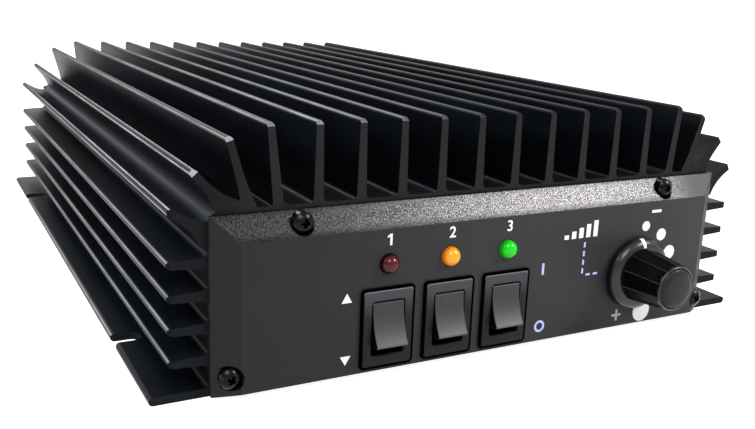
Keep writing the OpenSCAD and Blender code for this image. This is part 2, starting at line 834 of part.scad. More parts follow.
// Tubes through both sleeves, joined by a plate at each end
module sleeve_tubes(w, l, bore) {
  d = bore - 2 * fit;
  reach = l / 2 + tube_plate + tube_lip;
  for (s = SIDES) translate([s * w / 2, 0, board_z - w / 2]) difference() {
    rod(d, -reach, reach);
    rod(d - 1.2, -l, l);
  }
  for (s = SIDES) translate([0, s * (l + tube_plate) / 2, board_z - w / 2]) difference() {
    along(-tube_plate / 2, tube_plate / 2) square([2 * w, w], center = true);
    for (sx = SIDES) translate([sx * w / 2, 0, 0]) rod(d - 0.6, -tube_plate, tube_plate);
  }
}

module at_output_transformer() {
  translate([0, transformer_y, 0]) children();
}

module at_input_transformer() {
  translate([0, -33, 0]) children();
}

module output_transformer_cores() {
  color("#35363a") at_output_transformer() sleeve_cores(sleeve_w, sleeve_l, 7);
}

module output_transformer_tubes() {
  color("#b5713c") at_output_transformer() sleeve_tubes(sleeve_w, sleeve_l, 7);
}

module input_transformer_cores() {
  color("#35363a") at_input_transformer() sleeve_cores(7.6, 14, 4);
}

module input_transformer_tubes() {
  color("#b5713c") at_input_transformer() sleeve_tubes(7.6, 14, 4);
}

// ---- Filter, relays and supply ----

// Wound ring lying under the board
module ring_coil(d, bore, h) {
  r = 2;
  translate([0, 0, board_z - h / 2]) rotate_extrude() translate([(d + bore) / 4, 0])
    round_rect((d - bore) / 2, h, r);
}

module filter_coils() {
  color("#a5502c") for (x = coil_x, y = coil_rows) translate([x, y, 0]) ring_coil(coil_d, 9, coil_h);
}

// Clamped mica blocks between the coils
module filter_capacitors() {
  color("#a8843e") for (x = coil_x, y = coil_rows) translate([x + 11.2, y - 5, board_z - 9])
    cube([3.6, 10, 9]);
}

module relays() {
  color("#d7d8da") for (p = relay_places) translate([p[0], p[1], board_z - relay_size[2] / 2])
    along(-relay_size[1] / 2, relay_size[1] / 2) round_rect(relay_size[0], relay_size[2], 0.6);
}

// Upright cans with a rolled groove near the foot
module reservoir_capacitors() {
  color("#1d2a44") for (y = [board_front + 32, board_front + 48]) translate([14 - board_w / 2, y, board_z])
    rotate([180, 0, 0]) rotate_extrude() difference() {
      square([6.25, 20]);
      translate([6.7, 2.6]) circle(0.9);
    }
}

module supply_choke() {
  color("#c0b24a") translate([board_w / 2 - 20, board_front + 40, 0]) ring_coil(27, 12, 13);
}

// One resistor for each step of output power
module attenuator_resistors() {
  color("#7d8a78") for (i = [0:5]) translate([i * 8 - 30, board_front + 14, board_z - 2.6]) {
    rod(5.2, -7.5, 7.5);
  }
}

module at_fuse(i) {
  translate([i * 13 + 13 - board_w / 2, 32, board_z]) children();
}

// Socket blocks with the slots that the fuses' blades enter
module fuse_holders() {
  color("#202123") for (i = [0, 1]) at_fuse(i) difference() {
    translate([-4.2, -10.5, -8]) cube([8.4, 21, 8]);
    for (s = SIDES) translate([-0.5, s * 7.1 - 2.7, -9]) cube([1, 5.4, 8]);
  }
}

module blade_fuses() {
  color("#d98a2b") for (i = [0, 1]) at_fuse(i) {
    translate([-2.4, -9.5, -15]) cube([4.8, 19, 7]);
    for (s = SIDES) translate([-0.35, s * 7.1 - 2.6, -14]) cube([0.7, 5.2, 12.6]);
  }
}

// ---- Rear sockets and gland ----

// Flanged coaxial socket: outside barrel with a notched mouth, square flange and rear spigot
module coax_socket() {
  flange = 1.8;
  mouth = -flange - socket_len;
  difference() {
    union() {
      rod(socket_d, mouth, -flange);
      rod(socket_core + 2, -0.1, panel_skin + 2.4);
      along(-flange, 0) round_rect(socket_flange, socket_flange, 1.5);
    }
    rod(socket_core, mouth - 1, panel_t + 1);
    for (sx = SIDES, sz = SIDES) translate([sx * socket_screws_at / 2, 0, sz * socket_screws_at / 2])
      rod(screw_d + 0.3, -flange - 1, 1);
    for (a = [0, 90]) translate([0, mouth, 0]) rotate([0, a, 0])
      cube([socket_d + 1, 1.6, 1.4], center = true);
  }
}

module at_socket(i) {
  at_rear() translate([socket_x[i], 0, socket_z]) children();
}

module input_socket() {
  color("#c3c5c8") at_socket(0) coax_socket();
}

module output_socket() {
  color("#c3c5c8") at_socket(1) coax_socket();
}

module socket_insulators() {
  color("#efece4") for (i = [0, 1]) at_socket(i) difference() {
    rod(socket_core - 2 * fit, -12, panel_skin + 2.4);
    rod(contact_d, -13, panel_t + 1);
  }
}

// Centre contacts, bored for the plug's pin and cupped behind
module socket_contacts() {
  color("#c9a64e") for (i = [0, 1]) at_socket(i) difference() {
    union() {
      rod(contact_d - 2 * fit, -11.4, panel_skin + 2.4);
      rod(3.4, panel_skin + 2.3, 13);
    }
    rod(pin_bore, -12, -1);
  }
}

module socket_screws() {
  color("#c8c9cb") for (i = [0, 1], sx = SIDES, sz = SIDES) at_socket(i)
    translate([sx * socket_screws_at / 2, -1.8, sz * socket_screws_at / 2]) pan_screw(6);
}

// Strips from the sockets' contacts to the board's rear edge
module board_links() {
  edge = panel_t + ext_len / 2 - board_rear;
  color("#c0814a") for (i = [0, 1]) at_rear() translate([socket_x[i], 0, 0]) across(link_w) polygon([
    [12, socket_z + 1.7], [edge + 3, socket_z + 1.7], [edge + 3, board_z], [edge + 2.4, board_z],
    [edge + 2.4, socket_z + 2.3], [12, socket_z + 2.3]
  ]);
}

// Moulded gland for the supply lead, with ribs outside and a lip inside the panel
module supply_gland() {
  color("#1c1c1e") at_rear() translate([gland_x, 0, socket_z]) rotate([90, 0, 0]) rotate_extrude() {
    difference() {
      polygon([
        [gland_bore / 2, -panel_skin - 2.4], [8.4, -panel_skin - 2.4], [8.4, -panel_skin],
        [7 - fit, -panel_skin], [7 - fit, 0], [9.4, 0], [9.4, 2.6], [7.6, 3.4], [6.2, 14], [gland_bore / 2, 14]
      ]);
      for (z = [5.4, 8, 10.6]) translate([7.6, z]) square([2, 1.1], center = true);
    }
  }
}

heatsink_extrusion();
front_panel();
rear_panel();
bottom_cover();
front_panel_screws();
rear_panel_screws();
bottom_cover_screws();
mode_switch_case();
preamp_switch_case();
power_switch_case();
mode_rocker();
preamp_rocker();
power_rocker();
switch_terminals();
transmit_lamp();
preamp_lamp();
power_lamp();
lamp_leads();
indicator_board();
indicator_board_screws();
output_knob();
selector_shaft();
selector_body();
selector_nut();
selector_washer();
selector_terminals();
main_board();
board_standoffs();
board_screws();
power_transistors();
transistor_screws();
output_transformer_cores();
output_transformer_tubes();
input_transformer_cores();
input_transformer_tubes();
filter_coils();
filter_capacitors();
relays();
reservoir_capacitors();
supply_choke();
attenuator_resistors();
fuse_holders();
blade_fuses();
input_socket();
output_socket();
socket_insulators();
socket_contacts();
socket_screws();
board_links();
supply_gland();
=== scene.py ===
import math

import bmesh
import bpy
from mathutils import Matrix, Vector


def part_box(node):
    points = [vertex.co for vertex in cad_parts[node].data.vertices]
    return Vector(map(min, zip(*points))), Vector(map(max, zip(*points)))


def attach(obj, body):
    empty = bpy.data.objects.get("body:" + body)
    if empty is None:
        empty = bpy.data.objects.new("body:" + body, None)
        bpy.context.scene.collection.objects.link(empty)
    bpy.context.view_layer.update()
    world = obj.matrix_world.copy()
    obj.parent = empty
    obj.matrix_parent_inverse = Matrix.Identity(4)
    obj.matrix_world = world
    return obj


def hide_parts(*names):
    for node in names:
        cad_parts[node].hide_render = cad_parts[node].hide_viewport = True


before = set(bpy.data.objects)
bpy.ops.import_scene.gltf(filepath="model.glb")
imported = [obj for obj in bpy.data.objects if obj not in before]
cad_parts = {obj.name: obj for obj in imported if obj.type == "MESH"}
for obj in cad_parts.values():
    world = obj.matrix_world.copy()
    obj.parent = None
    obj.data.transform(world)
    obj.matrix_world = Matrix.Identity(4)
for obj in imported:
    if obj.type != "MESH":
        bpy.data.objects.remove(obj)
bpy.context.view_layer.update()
mm = 0.001
weld = 0.0005 * mm  # points nearer to each other than this are one
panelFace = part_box("front_panel")[0].y  # the flat face of the front panel
print("frame loaded, nodes:", len(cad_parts))

# the photograph's view, worked out from the straight edges of the amplifier
viewSettings = {
    "place": (-135.68, -309.3, 95.08),  # millimetres
    "yaw": 28.34, "pitch": -14.51, "roll": 2.26,  # degrees
    "focalPixels": 895.37, "imageWidth": 755, "sensorWidth": 36,
}


def linked(name, data):
    # a new object in the scene
    piece = bpy.data.objects.new(name, data)
    bpy.context.scene.collection.objects.link(piece)
    return piece


def placeCamera(spec):
    data = bpy.data.cameras.new("photoCamera")
    data.sensor_width = spec["sensorWidth"]
    data.lens = spec["sensorWidth"] * spec["focalPixels"] / spec["imageWidth"]
    data.clip_start = 0.01
    camera = linked("photoCamera", data)
    turn = (Matrix.Rotation(math.radians(-spec["yaw"]), 4, "Z")
            @ Matrix.Rotation(math.radians(90 + spec["pitch"]), 4, "X")
            @ Matrix.Rotation(math.radians(spec["roll"]), 4, "Z"))
    camera.matrix_world = Matrix.Translation(Vector(spec["place"]) * mm) @ turn
    bpy.context.scene.camera = camera


def ink(code):
    # a web colour as the linear colour that a shader takes
    parts = [int(code[i:i + 2], 16) / 255 for i in (1, 3, 5)]
    return tuple(p / 12.92 if p <= 0.04045 else ((p + 0.055) / 1.055) ** 2.4 for p in parts) + (1.0,)


class Value:
    # a socket that takes part in plain arithmetic
    def __init__(self, graph, socket):
        self.graph, self.socket = graph, socket

    def apply(self, operation, *others):
        return self.graph.add("ShaderNodeMath", {"operation": operation}, [self, *others])

    def flipped(self, operation, other):
        # for a number that stands in front of a value
        return self.graph.add("ShaderNodeMath", {"operation": operation}, [other, self])

    def __add__(self, other):
        return self.apply("ADD", other)

    def __radd__(self, other):
        return self.flipped("ADD", other)

    def __sub__(self, other):
        return self.apply("SUBTRACT", other)

    def __rsub__(self, other):
        return self.flipped("SUBTRACT", other)

    def __mul__(self, other):
        return self.apply("MULTIPLY", other)

    def __rmul__(self, other):
        return self.flipped("MULTIPLY", other)

    def __truediv__(self, other):
        return self.apply("DIVIDE", other)

    def __rtruediv__(self, other):
        return self.flipped("DIVIDE", other)

    def __pow__(self, other):
        return self.apply("POWER", other)

    def __mod__(self, other):
        return self.apply("FLOORED_MODULO", other)

    def __lt__(self, other):
        return self.apply("LESS_THAN", other)

    def __gt__(self, other):
        return self.apply("GREATER_THAN", other)

    def magnitude(self):
        return self.apply("ABSOLUTE")

    def atLeast(self, other):
        return self.apply("MAXIMUM", other)

    def atMost(self, other):
        return self.apply("MINIMUM", other)

    def ramp(self, low, high):
        # 0 at low, 1 at high, and smooth between them
        return self.graph.add("ShaderNodeMapRange", {"interpolation_type": "SMOOTHSTEP"},
                              {"Value": self, "From Min": low, "From Max": high})


class Graph:
    # a node tree, for a finish or for a grown piece
    def __init__(self, tree):
        self.tree = tree

    def add(self, kind, settings=None, inputs=None, out=0):
        node = self.tree.nodes.new(kind)
        for name, value in (settings or {}).items():
            setattr(node, name, value)
        pairs = enumerate(inputs) if isinstance(inputs, list) else (inputs or {}).items()
        for key, value in pairs:
            if isinstance(value, Value):
                self.tree.links.new(value.socket, node.inputs[key])
            elif isinstance(value, list):
                for one in value:
                    self.tree.links.new(one.socket, node.inputs[key])
            else:
                node.inputs[key].default_value = value
        return Value(self, node.outputs[out]) if len(node.outputs) else node

    def vector(self, x, y, z):
        return self.add("ShaderNodeCombineXYZ", None, [x, y, z])


class Finish(Graph):
    # a material round one Principled BSDF
    def __init__(self, name):
        self.material = bpy.data.materials.new(name)
        self.material.use_nodes = True
        super().__init__(self.material.node_tree)
        self.shader = self.tree.nodes["Principled BSDF"]
        self.where = self.add("ShaderNodeTexCoord", out="Object")
        self.facing = self.add("ShaderNodeTexCoord", out="Normal")

    def axis(self, name, source=None):
        return self.add("ShaderNodeSeparateXYZ", None, [source or self.where], out=name)

    def noise(self, scale, detail, rough, stretch=(1, 1, 1)):
        # scale counts the grains in a metre
        mapped = self.add("ShaderNodeMapping", None, {"Vector": self.where, "Scale": stretch})
        return self.add("ShaderNodeTexNoise", {"noise_dimensions": "3D"},
                        {"Vector": mapped, "Scale": scale, "Detail": detail, "Roughness": rough}, out="Fac")

    def cells(self, scale):
        return self.add("ShaderNodeTexVoronoi", None, {"Vector": self.where, "Scale": scale}, out="Distance")

    def blend(self, factor, first, second):
        return self.add("ShaderNodeMix", {"data_type": "RGBA"}, {0: factor, 6: first, 7: second}, out=2)

    def raised(self, height, distance, strength):
        return self.add("ShaderNodeBump", None,
                        {"Strength": strength, "Distance": distance * mm, "Height": height})

    def done(self, **sockets):
        for name, value in sockets.items():
            socket = self.shader.inputs[name.replace("_", " ")]
            if isinstance(value, Value):
                self.tree.links.new(value.socket, socket)
            else:
                socket.default_value = value
        return self.material


class Growth(Graph):
    # a geometry tree with named sizes, turned into a plain mesh; whole names the sizes that are counts
    def __init__(self, name, sizes, whole=()):
        super().__init__(bpy.data.node_groups.new(name, "GeometryNodeTree"))
        self.name, self.sizes = name, sizes
        self.tree.interface.new_socket("Geometry", in_out="INPUT", socket_type="NodeSocketGeometry")
        self.tree.interface.new_socket("Geometry", in_out="OUTPUT", socket_type="NodeSocketGeometry")
        for key in sizes:
            kind = "NodeSocketInt" if key in whole else "NodeSocketFloat"
            self.tree.interface.new_socket(key, in_out="INPUT", socket_type=kind)
        self.source = self.tree.nodes.new("NodeGroupInput")

    def given(self, name="Geometry"):
        return Value(self, self.source.outputs[name])

    def moved(self, geometry, **how):
        return self.add("GeometryNodeTransform", None, {"Geometry": geometry, **how})

    def cylinder(self, vertices, radius, depth, sections=1):
        return self.add("GeometryNodeMeshCylinder", {"fill_type": "NGON"}, {
            "Vertices": vertices, "Side Segments": sections, "Radius": radius, "Depth": depth})

    def carved(self, operation, sockets):
        return self.add("GeometryNodeMeshBoolean", {"operation": operation, "solver": "EXACT"}, sockets)

    def grow(self, geometry, finish, points=()):
        # points are those that the tree starts from, in millimetres
        real = self.add("GeometryNodeRealizeInstances", None, [geometry])
        dressed = self.add("GeometryNodeSetMaterial", None, {"Geometry": real, "Material": finish})
        self.add("NodeGroupOutput", None, [dressed])
        data = bpy.data.meshes.new(self.name)
        data.from_pydata([tuple(c * mm for c in point) for point in points], [], [])
        piece = linked(self.name, data)
        modifier = piece.modifiers.new(self.name, "NODES")
        modifier.node_group = self.tree
        for item in self.tree.interface.items_tree:
            if item.in_out == "INPUT" and item.name in self.sizes:
                modifier[item.identifier] = self.sizes[item.name]
        data = settled(piece)
        bpy.data.objects.remove(piece)
        data.materials.clear()
        data.materials.append(finish)
        data.polygons.foreach_set("material_index", [0] * len(data.polygons))
        return data


def inMetres(spec, *keys):
    return {key: spec[key] * mm for key in keys}


# a pale paper floor, four soft lamps and a white world
stageSettings = {
    "floorSize": 60.0, "floorColour": "#c4c4c4", "floorGlow": 0.92, "ambient": 0.2,
    "lamps": {  # place and aim in metres, size in metres, watts, tint
        "keyLamp": ((0.53, -0.5, 0.53), (0.03, -0.12, 0.03), 0.26, 6.0, (1.0, 0.965, 0.93)),
        "frontLamp": ((-0.35, -0.75, 0.85), (0.0, -0.1, 0.03), 0.45, 7.0, (1.0, 1.0, 1.0)),
        "leftLamp": ((-0.9, 0.1, 0.75), (-0.05, 0.0, 0.04), 0.35, 9.0, (0.96, 0.98, 1.0)),
        "backLamp": ((0.1, 1.0, 0.8), (0.0, 0.0, 0.04), 0.7, 5.0, (1.0, 1.0, 1.0)),
    },
}


def dressStage(spec):
    world = bpy.data.worlds.new("paleStudio")
    bpy.context.scene.world = world
    world.use_nodes = True
    graph = Graph(world.node_tree)
    path = "ShaderNodeLightPath"
    shown = graph.add(path, out="Is Camera Ray").atLeast(graph.add(path, out="Is Glossy Ray"))
    shown = shown.atLeast(graph.add(path, out="Is Transmission Ray"))
    strength = shown * (1 - spec["ambient"]) + spec["ambient"]
    background = world.node_tree.nodes["Background"]
    background.inputs["Color"].default_value = (1, 1, 1, 1)
    world.node_tree.links.new(strength.socket, background.inputs["Strength"])

    half = spec["floorSize"] / 2
    corners = [(-half, -half, 0), (half, -half, 0), (half, half, 0), (-half, half, 0)]
    data = bpy.data.meshes.new("floor")
    data.from_pydata(corners, [], [(0, 1, 2, 3)])
    floor = linked("floor", data)
    finish = Finish("palePaper")
    seen = finish.add(path, out="Is Camera Ray").atLeast(finish.add(path, out="Is Glossy Ray"))
    glow = finish.blend(seen, (0, 0, 0, 1), (1, 1, 1, 1))
    floor.data.materials.append(finish.done(
        Base_Color=ink(spec["floorColour"]), Roughness=0.9, Specular_IOR_Level=0.1,
        Emission_Color=glow, Emission_Strength=spec["floorGlow"]))

    for name, (spot, aim, size, watts, tint) in spec["lamps"].items():
        light = bpy.data.lights.new(name, "AREA")
        light.shape, light.size, light.energy, light.color = "SQUARE", size, watts, tint
        lamp = linked(name, light)
        lamp.location = spot
        lamp.rotation_euler = (Vector(aim) - Vector(spot)).to_track_quat("-Z", "Y").to_euler()


placeCamera(viewSettings)
dressStage(stageSettings)
bpy.context.scene.view_settings.view_transform = "Standard"
print("stage and camera placed")


# the knuckles are the channel's round corners, given by their distance from the middle and their height
finSettings = {  # millimetres, and square millimetres for the area
    "knuckle": (77.1, 43.6), "knuckleReach": 4, "band": (3, 1), "endShade": (64, 78),
    "glintAcross": (5, -80), "glintAlong": (200, -80), "tipLength": 40, "tipWidth": 0.95,
    "chamferArea": 6, "chamferFloor": 45, "chamferTilt": (0.2, 0.98),
}


def anodisedBlack(spec):
    # extruded and black anodised: die lines along Y, greyer where the saw cut the ends, with a painted
    # reflection along the knuckles and painted shade on the ends of the outermost fins
    look = Finish("anodisedBlack")
    cut = look.axis("Y", look.facing).magnitude().ramp(0.75, 0.95)
    # painted shade: the sawn ends go dark towards the outermost fins
    near, far = spec["endShade"]
    corner = look.axis("X").magnitude().ramp(near * mm, far * mm)
    dieLines = look.noise(900, 3, 0.6, stretch=(1, 0.006, 1))
    haze = look.noise(55, 4, 0.6, stretch=(1, 0.25, 1))
    sawMarks = look.noise(1500, 2, 0.7, stretch=(0.08, 1, 1))
    face = look.blend(haze.ramp(0.35, 0.75), ink("#05070a"), ink("#0d1118"))
    # painted reflection: a lighter band along each knuckle stands in for the sheen on its round corner
    aside, height = spec["knuckle"]
    away = (look.axis("X").magnitude() - aside * mm) ** 2 + (look.axis("Z") - height * mm) ** 2
    outer, inner = spec["band"]
    face = look.blend((away ** 0.5).ramp(outer * mm, inner * mm), face, ink("#2b2e34"))
    sawn = look.blend(sawMarks * (1 - corner), ink("#161719"), ink("#2b2b2c"))
    rough = (0.3 + dieLines * 0.12) * (1 - cut) + (0.5 + sawMarks * 0.15) * cut
    relief = dieLines * (1 - cut) + sawMarks * cut
    return look.done(Base_Color=look.blend(cut, face, sawn), Roughness=rough,
                     Specular_IOR_Level=0.06, Normal=look.raised(relief, 0.03, 0.5))


def wornEdge(spec):
    # fin edges where the anodising is thin and rubbed, with a painted glint that is brightest at the front
    # of the left side and fades from there
    look = Finish("wornEdge")
    across, along = (look.axis(name).ramp(start * mm, full * mm) for name, (start, full) in (
        ("X", spec["glintAcross"]), ("Y", spec["glintAlong"])))
    glintSide = across * along
    patchy = look.noise(300, 3, 0.6, stretch=(1, 0.15, 1)).ramp(0.3, 0.7)
    # partly real wear, partly painted glint: the edge colour brightens towards the front of the left side
    rubAndGlint = (0.5 + patchy * 0.5) * (0.06 + glintSide * 0.94)
    return look.done(Base_Color=look.blend(rubAndGlint, ink("#0a0b0d"), ink("#94969b")),
                     Metallic=rubAndGlint * 0.8, Roughness=0.38 - rubAndGlint * 0.1, Specular_IOR_Level=0.03)


# these changes place painted shade on the bevels and painted light on the satin face
coatSettings = {  # the axis that each change follows, where it starts and where it is full, in millimetres
    "bevelLow": ("Z", 37.6, 39.6), "bevelHigh": ("Z", 44.6, 42.2), "bevelEnd": ("X", 54, 69),
    "faceAlong": ("X", -75, 5), "faceEnd": ("X", 52, 74), "faceUp": ("Z", 5, 25),
}


def panelCoat(name, faceColour, faceShade, spec):
    # smooth satin face, blasted and glittering bevels; painted shade at the bevels' edges, towards the last
    # fins and on the side bevels, and painted light on the face towards its right and top
    look = Finish(name)

    def change(key):
        axisName, start, full = spec[key]
        return look.axis(axisName).ramp(start * mm, full * mm)

    face = look.axis("Y", look.facing).magnitude().ramp(0.93, 0.97)
    top = look.axis("Z", look.facing).ramp(0.3, 0.5)
    grain = look.noise(5200, 2, 0.7)
    glitter = look.noise(3000, 3, 0.8).ramp(0.4, 0.64)
    # painted shade: the bevel darkens along its lower and upper edges and towards the last fins
    shaded = (change("bevelEnd") * 0.75).atLeast((1 - change("bevelLow") * change("bevelHigh")) * 0.68)
    lit = look.blend(shaded, look.blend(glitter, ink("#161617"), ink("#505051")), ink("#08080a"))
    # painted shade: the side bevels take a plain darker colour than the upward ones
    blasted = look.blend(top, ink("#1c1d20"), lit)
    # painted light: the satin face grows lighter towards its right end and its top, mixed with a random tone
    paintedLight = (change("faceAlong") * 0.6 + change("faceEnd") * 0.4) * (0.6 + change("faceUp") * 0.4)
    tintAndPaintedLight = look.noise(30, 3, 0.5) * 0.25 + paintedLight * 0.75
    satin = look.blend(tintAndPaintedLight, ink(faceShade), ink(faceColour))
    rough = face * (0.44 + grain * 0.06) + (1 - face) * (0.5 - top * 0.3 + grain * 0.1)
    relief = grain * (1 - face * 0.85) * (0.3 + top * 0.45)
    return look.done(Base_Color=look.blend(face, blasted, satin), Roughness=rough, Specular_IOR_Level=0.15,
                     Metallic=(1 - face) * top * 0.85, Normal=look.raised(relief, 0.05, 0.7))


def blackOxide():
    look = Finish("blackOxide")
    wear = look.noise(700, 3, 0.6).ramp(0.5, 0.8)
    return look.done(Base_Color=look.blend(wear, ink("#0c0c0d"), ink("#2b2c2e")),
                     Metallic=0.7, Roughness=0.2 + wear * 0.1, Specular_IOR_Level=0.3)


def mouldedPlastic(name, dark, light, roughness, texture=4200, coat=0.0, shine=0.25):
    # fine spark-eroded grain, a little lighter in patches
    look = Finish(name)
    grain = look.noise(texture, 2, 0.6)
    patch = look.noise(90, 2, 0.5)
    return look.done(Base_Color=look.blend(patch * 0.6 + grain * 0.4, ink(dark), ink(light)),
                     Roughness=roughness + grain * 0.08, Coat_Weight=coat, Specular_IOR_Level=shine,
                     Normal=look.raised(grain, 0.02, 0.4))


bezelSettings = {
    "centres": (-16.5, 12.8), "pitch": 17.6, "width": 15, "height": 21, "round": 1.2,
    "outline": 0.72, "soft": 0.08, "wallDepth": (0.6, 1.2), "litTopHeight": (2, 9),
    "glintWidth": (0.3, 0.18), "glintHeight": (8.6, 9.3),
    "face": "#202124", "shade": "#1b1c1e", "top": "#424347", "glint": "#68696c",
}


def bezelPlastic(spec):
    # moulded face, lighter towards its top as painted light and with a painted highlight along its top edge;
    # the shoulder that runs round each case and the deeper walls are dead black as painted shade
    look = Finish("bezelPlastic")

    def change(line, key):
        start, full = spec[key]
        return line.ramp(start * mm, full * mm)

    x, z = spec["centres"]
    pitch, corner = spec["pitch"] * mm, spec["round"] * mm
    aside = ((look.axis("X") - (x - spec["pitch"] / 2) * mm) % pitch - pitch / 2).magnitude()
    above = (look.axis("Z") - z * mm).magnitude()
    aside = aside - (spec["width"] / 2 - spec["round"]) * mm
    above = above - (spec["height"] / 2 - spec["round"]) * mm
    # how far out a point lies from the case's rounded outline, less than nothing on the inside
    beyond = (aside.atLeast(0) ** 2 + above.atLeast(0) ** 2) ** 0.5 + aside.atLeast(above).atMost(0) - corner
    outline, soft = spec["outline"], spec["soft"]
    shoulder = beyond.ramp(-(outline + soft) * mm, -(outline - soft) * mm)
    dark = shoulder.atLeast(change(look.axis("Y") - panelFace, "wallDepth"))
    grain = look.noise(4200, 2, 0.6)
    upper = look.axis("Z") - z * mm
    plastic = look.blend(grain, ink(spec["shade"]), ink(spec["face"]))
    # painted light: the face grows lighter towards its top
    plastic = look.blend(change(upper, "litTopHeight"), plastic, ink(spec["top"]))
    # painted highlight: a thin light line along the top edge of the face
    far, near = spec["glintWidth"]
    lip = beyond.ramp(-(outline + far) * mm, -(outline + near) * mm) * change(upper, "glintHeight")
    plastic = look.blend(lip, plastic, ink(spec["glint"]))
    # painted shade: the shoulder and deeper walls are a black metal, which reflects nothing
    return look.done(Base_Color=look.blend(dark, plastic, ink("#000000")), Metallic=dark,
                     Roughness=0.42 + grain * 0.08 + dark * 0.4, Specular_IOR_Level=0.1,
                     Normal=look.raised(grain, 0.02, 0.4))


def rockerPlastic():
    # satin dished face, painted lighter towards its lower lip, with painted shade on its flanks, which are
    # made near black and kept from reflecting
    look = Finish("rockerPlastic")
    # painted shade: the flanks are made near black and metallic so that they reflect little
    flank = look.axis("X", look.facing).magnitude().ramp(0.5, 0.9)
    grain = look.noise(3800, 2, 0.6)
    scuff = look.noise(420, 3, 0.7, stretch=(1, 1, 0.3)).ramp(0.55, 0.8)
    # painted light: the face grows lighter from the top towards its lower lip
    top, foot = 17.5 * mm, 7.5 * mm
    paintedLightBelow = look.axis("Z").ramp(top, foot)
    face = look.blend(paintedLightBelow * 0.75 + grain * 0.15 + scuff * 0.1, ink("#222327"), ink("#57575a"))
    return look.done(Base_Color=look.blend(flank, face, ink("#030304")), Metallic=flank * 0.9,
                     Roughness=0.36 + grain * 0.08 + flank * 0.2, Specular_IOR_Level=0.3,
                     Normal=look.raised(grain, 0.02, 0.4))


knobSettings = {
    "axis": (46.5, 17.5), "gap": 0.4, "skirtRadius": 10.5, "skirtEdge": 0.9, "skirtRound": 2.6,
    "gripRoot": 7.6, "gripTip": 6.3, "gripEnd": 15.9, "capRadius": 5.7, "crown": 0.5,
    "flutes": 10.0, "fluteDepth": 0.3, "ridgeHeight": 0.42, "ridgeShare": 0.16, "fadeShare": 0.12,
    "facets": 480, "rimRound": 0.5, "capProud": 0.45, "capRound": 0.9, "footChamfer": 0.2, "sunk": 0.6,
    "pointerArc": (75, 4), "pointerAngle": -3.0, "pointerSpread": 3.2,  # degrees
    "pointerProud": 0.04, "pointerSink": 0.1, "inset": 0.1,
}


def gripPlastic(spec):
    # black moulding whose ridges are rubbed grey, the grey also standing in as a painted highlight along
    # them
    look = Finish("gripPlastic")
    across, up = look.axis("X") - spec["axis"][0] * mm, look.axis("Z") - spec["axis"][1] * mm
    trough = (up.apply("ARCTAN2", across) * spec["flutes"] / 2).apply("COSINE").magnitude()
    crest = (1 - trough / spec["ridgeShare"]).atLeast(0.0)
    scuff = look.noise(900, 3, 0.6, stretch=(1, 0.2, 1))
    ridgeWearAndHighlight = (crest * (0.5 + scuff * 0.7)).atMost(1.0)
    return look.done(Base_Color=look.blend(ridgeWearAndHighlight, ink("#040405"), ink("#3e3f42")), Specular_IOR_Level=0.04,
                     Roughness=0.34 + scuff * 0.08, Normal=look.raised(scuff, 0.01, 0.3))


def plainMetal(name, dark, light, roughness):
    # plated or turned metal with fine tool lines
    look = Finish(name)
    toolLines = look.noise(2600, 2, 0.6, stretch=(1, 0.02, 1))
    tarnish = look.noise(160, 4, 0.6)
    return look.done(Base_Color=look.blend(tarnish, ink(dark), ink(light)), Metallic=1.0,
                     Roughness=roughness + toolLines * 0.12, Normal=look.raised(toolLines, 0.01, 0.3))


def lampLens(name, deep, bright, lit, shine):
    # a tinted dome: paler where the chip shines through, deeper at the rim
    look = Finish(name)
    rim = look.axis("Y", look.facing).magnitude().ramp(0.1, 0.8)
    swirl = look.noise(600, 2, 0.5)
    tint = look.blend(rim * (0.7 + swirl * 0.3), ink(deep), ink(bright))
    return look.done(Base_Color=tint, Emission_Color=tint, Emission_Strength=lit,
                     Roughness=0.1 + swirl * 0.03, Specular_IOR_Level=shine)


def paint(name, colour, faded):
    # silk-screened ink
    look = Finish(name)
    speck = look.noise(3000, 2, 0.6).ramp(0.3, 0.7)
    return look.done(Base_Color=look.blend(speck, ink(faded), ink(colour)), Roughness=0.5 + speck * 0.1,
                     Specular_IOR_Level=0.3)


def boardGreen():
    # solder mask over copper traces, seen as a paler network
    look = Finish("boardGreen")
    lanes = look.add("ShaderNodeTexVoronoi", {"distance": "MANHATTAN", "feature": "F2"},
                     {"Vector": look.where, "Scale": 160, "Randomness": 0.6}, out="Distance")
    trace = (lanes % 0.25).ramp(0.1, 0.14)
    return look.done(Base_Color=look.blend(trace, ink("#1f4a28"), ink("#35703f")),
                     Roughness=0.3 + trace * 0.1, Coat_Weight=0.3, Normal=look.raised(trace, 0.03, 0.6))


def enamelWire(name, dark, light, pitch, origin):
    # radial turns of wire on each ring of a row of coils
    look = Finish(name)
    turnsRound = 26
    across, along = ((look.axis(line) - middle * mm + step * mm / 2) % (step * mm) - step * mm / 2
                     for line, middle, step in zip("XY", origin, pitch))
    turns = (along.apply("ARCTAN2", across) * turnsRound).apply("SINE") * 0.5 + 0.5
    return look.done(Base_Color=look.blend(turns, ink(dark), ink(light)), Metallic=0.5,
                     Roughness=0.34 - turns * 0.1, Normal=look.raised(turns, 0.4, 0.8))


def ferrite():
    look = Finish("ferrite")
    pits = look.cells(900).ramp(0.1, 0.5)
    return look.done(Base_Color=look.blend(pits, ink("#232428"), ink("#3c3d42")),
                     Roughness=0.62 - pits * 0.12, Normal=look.raised(pits, 0.04, 0.5))


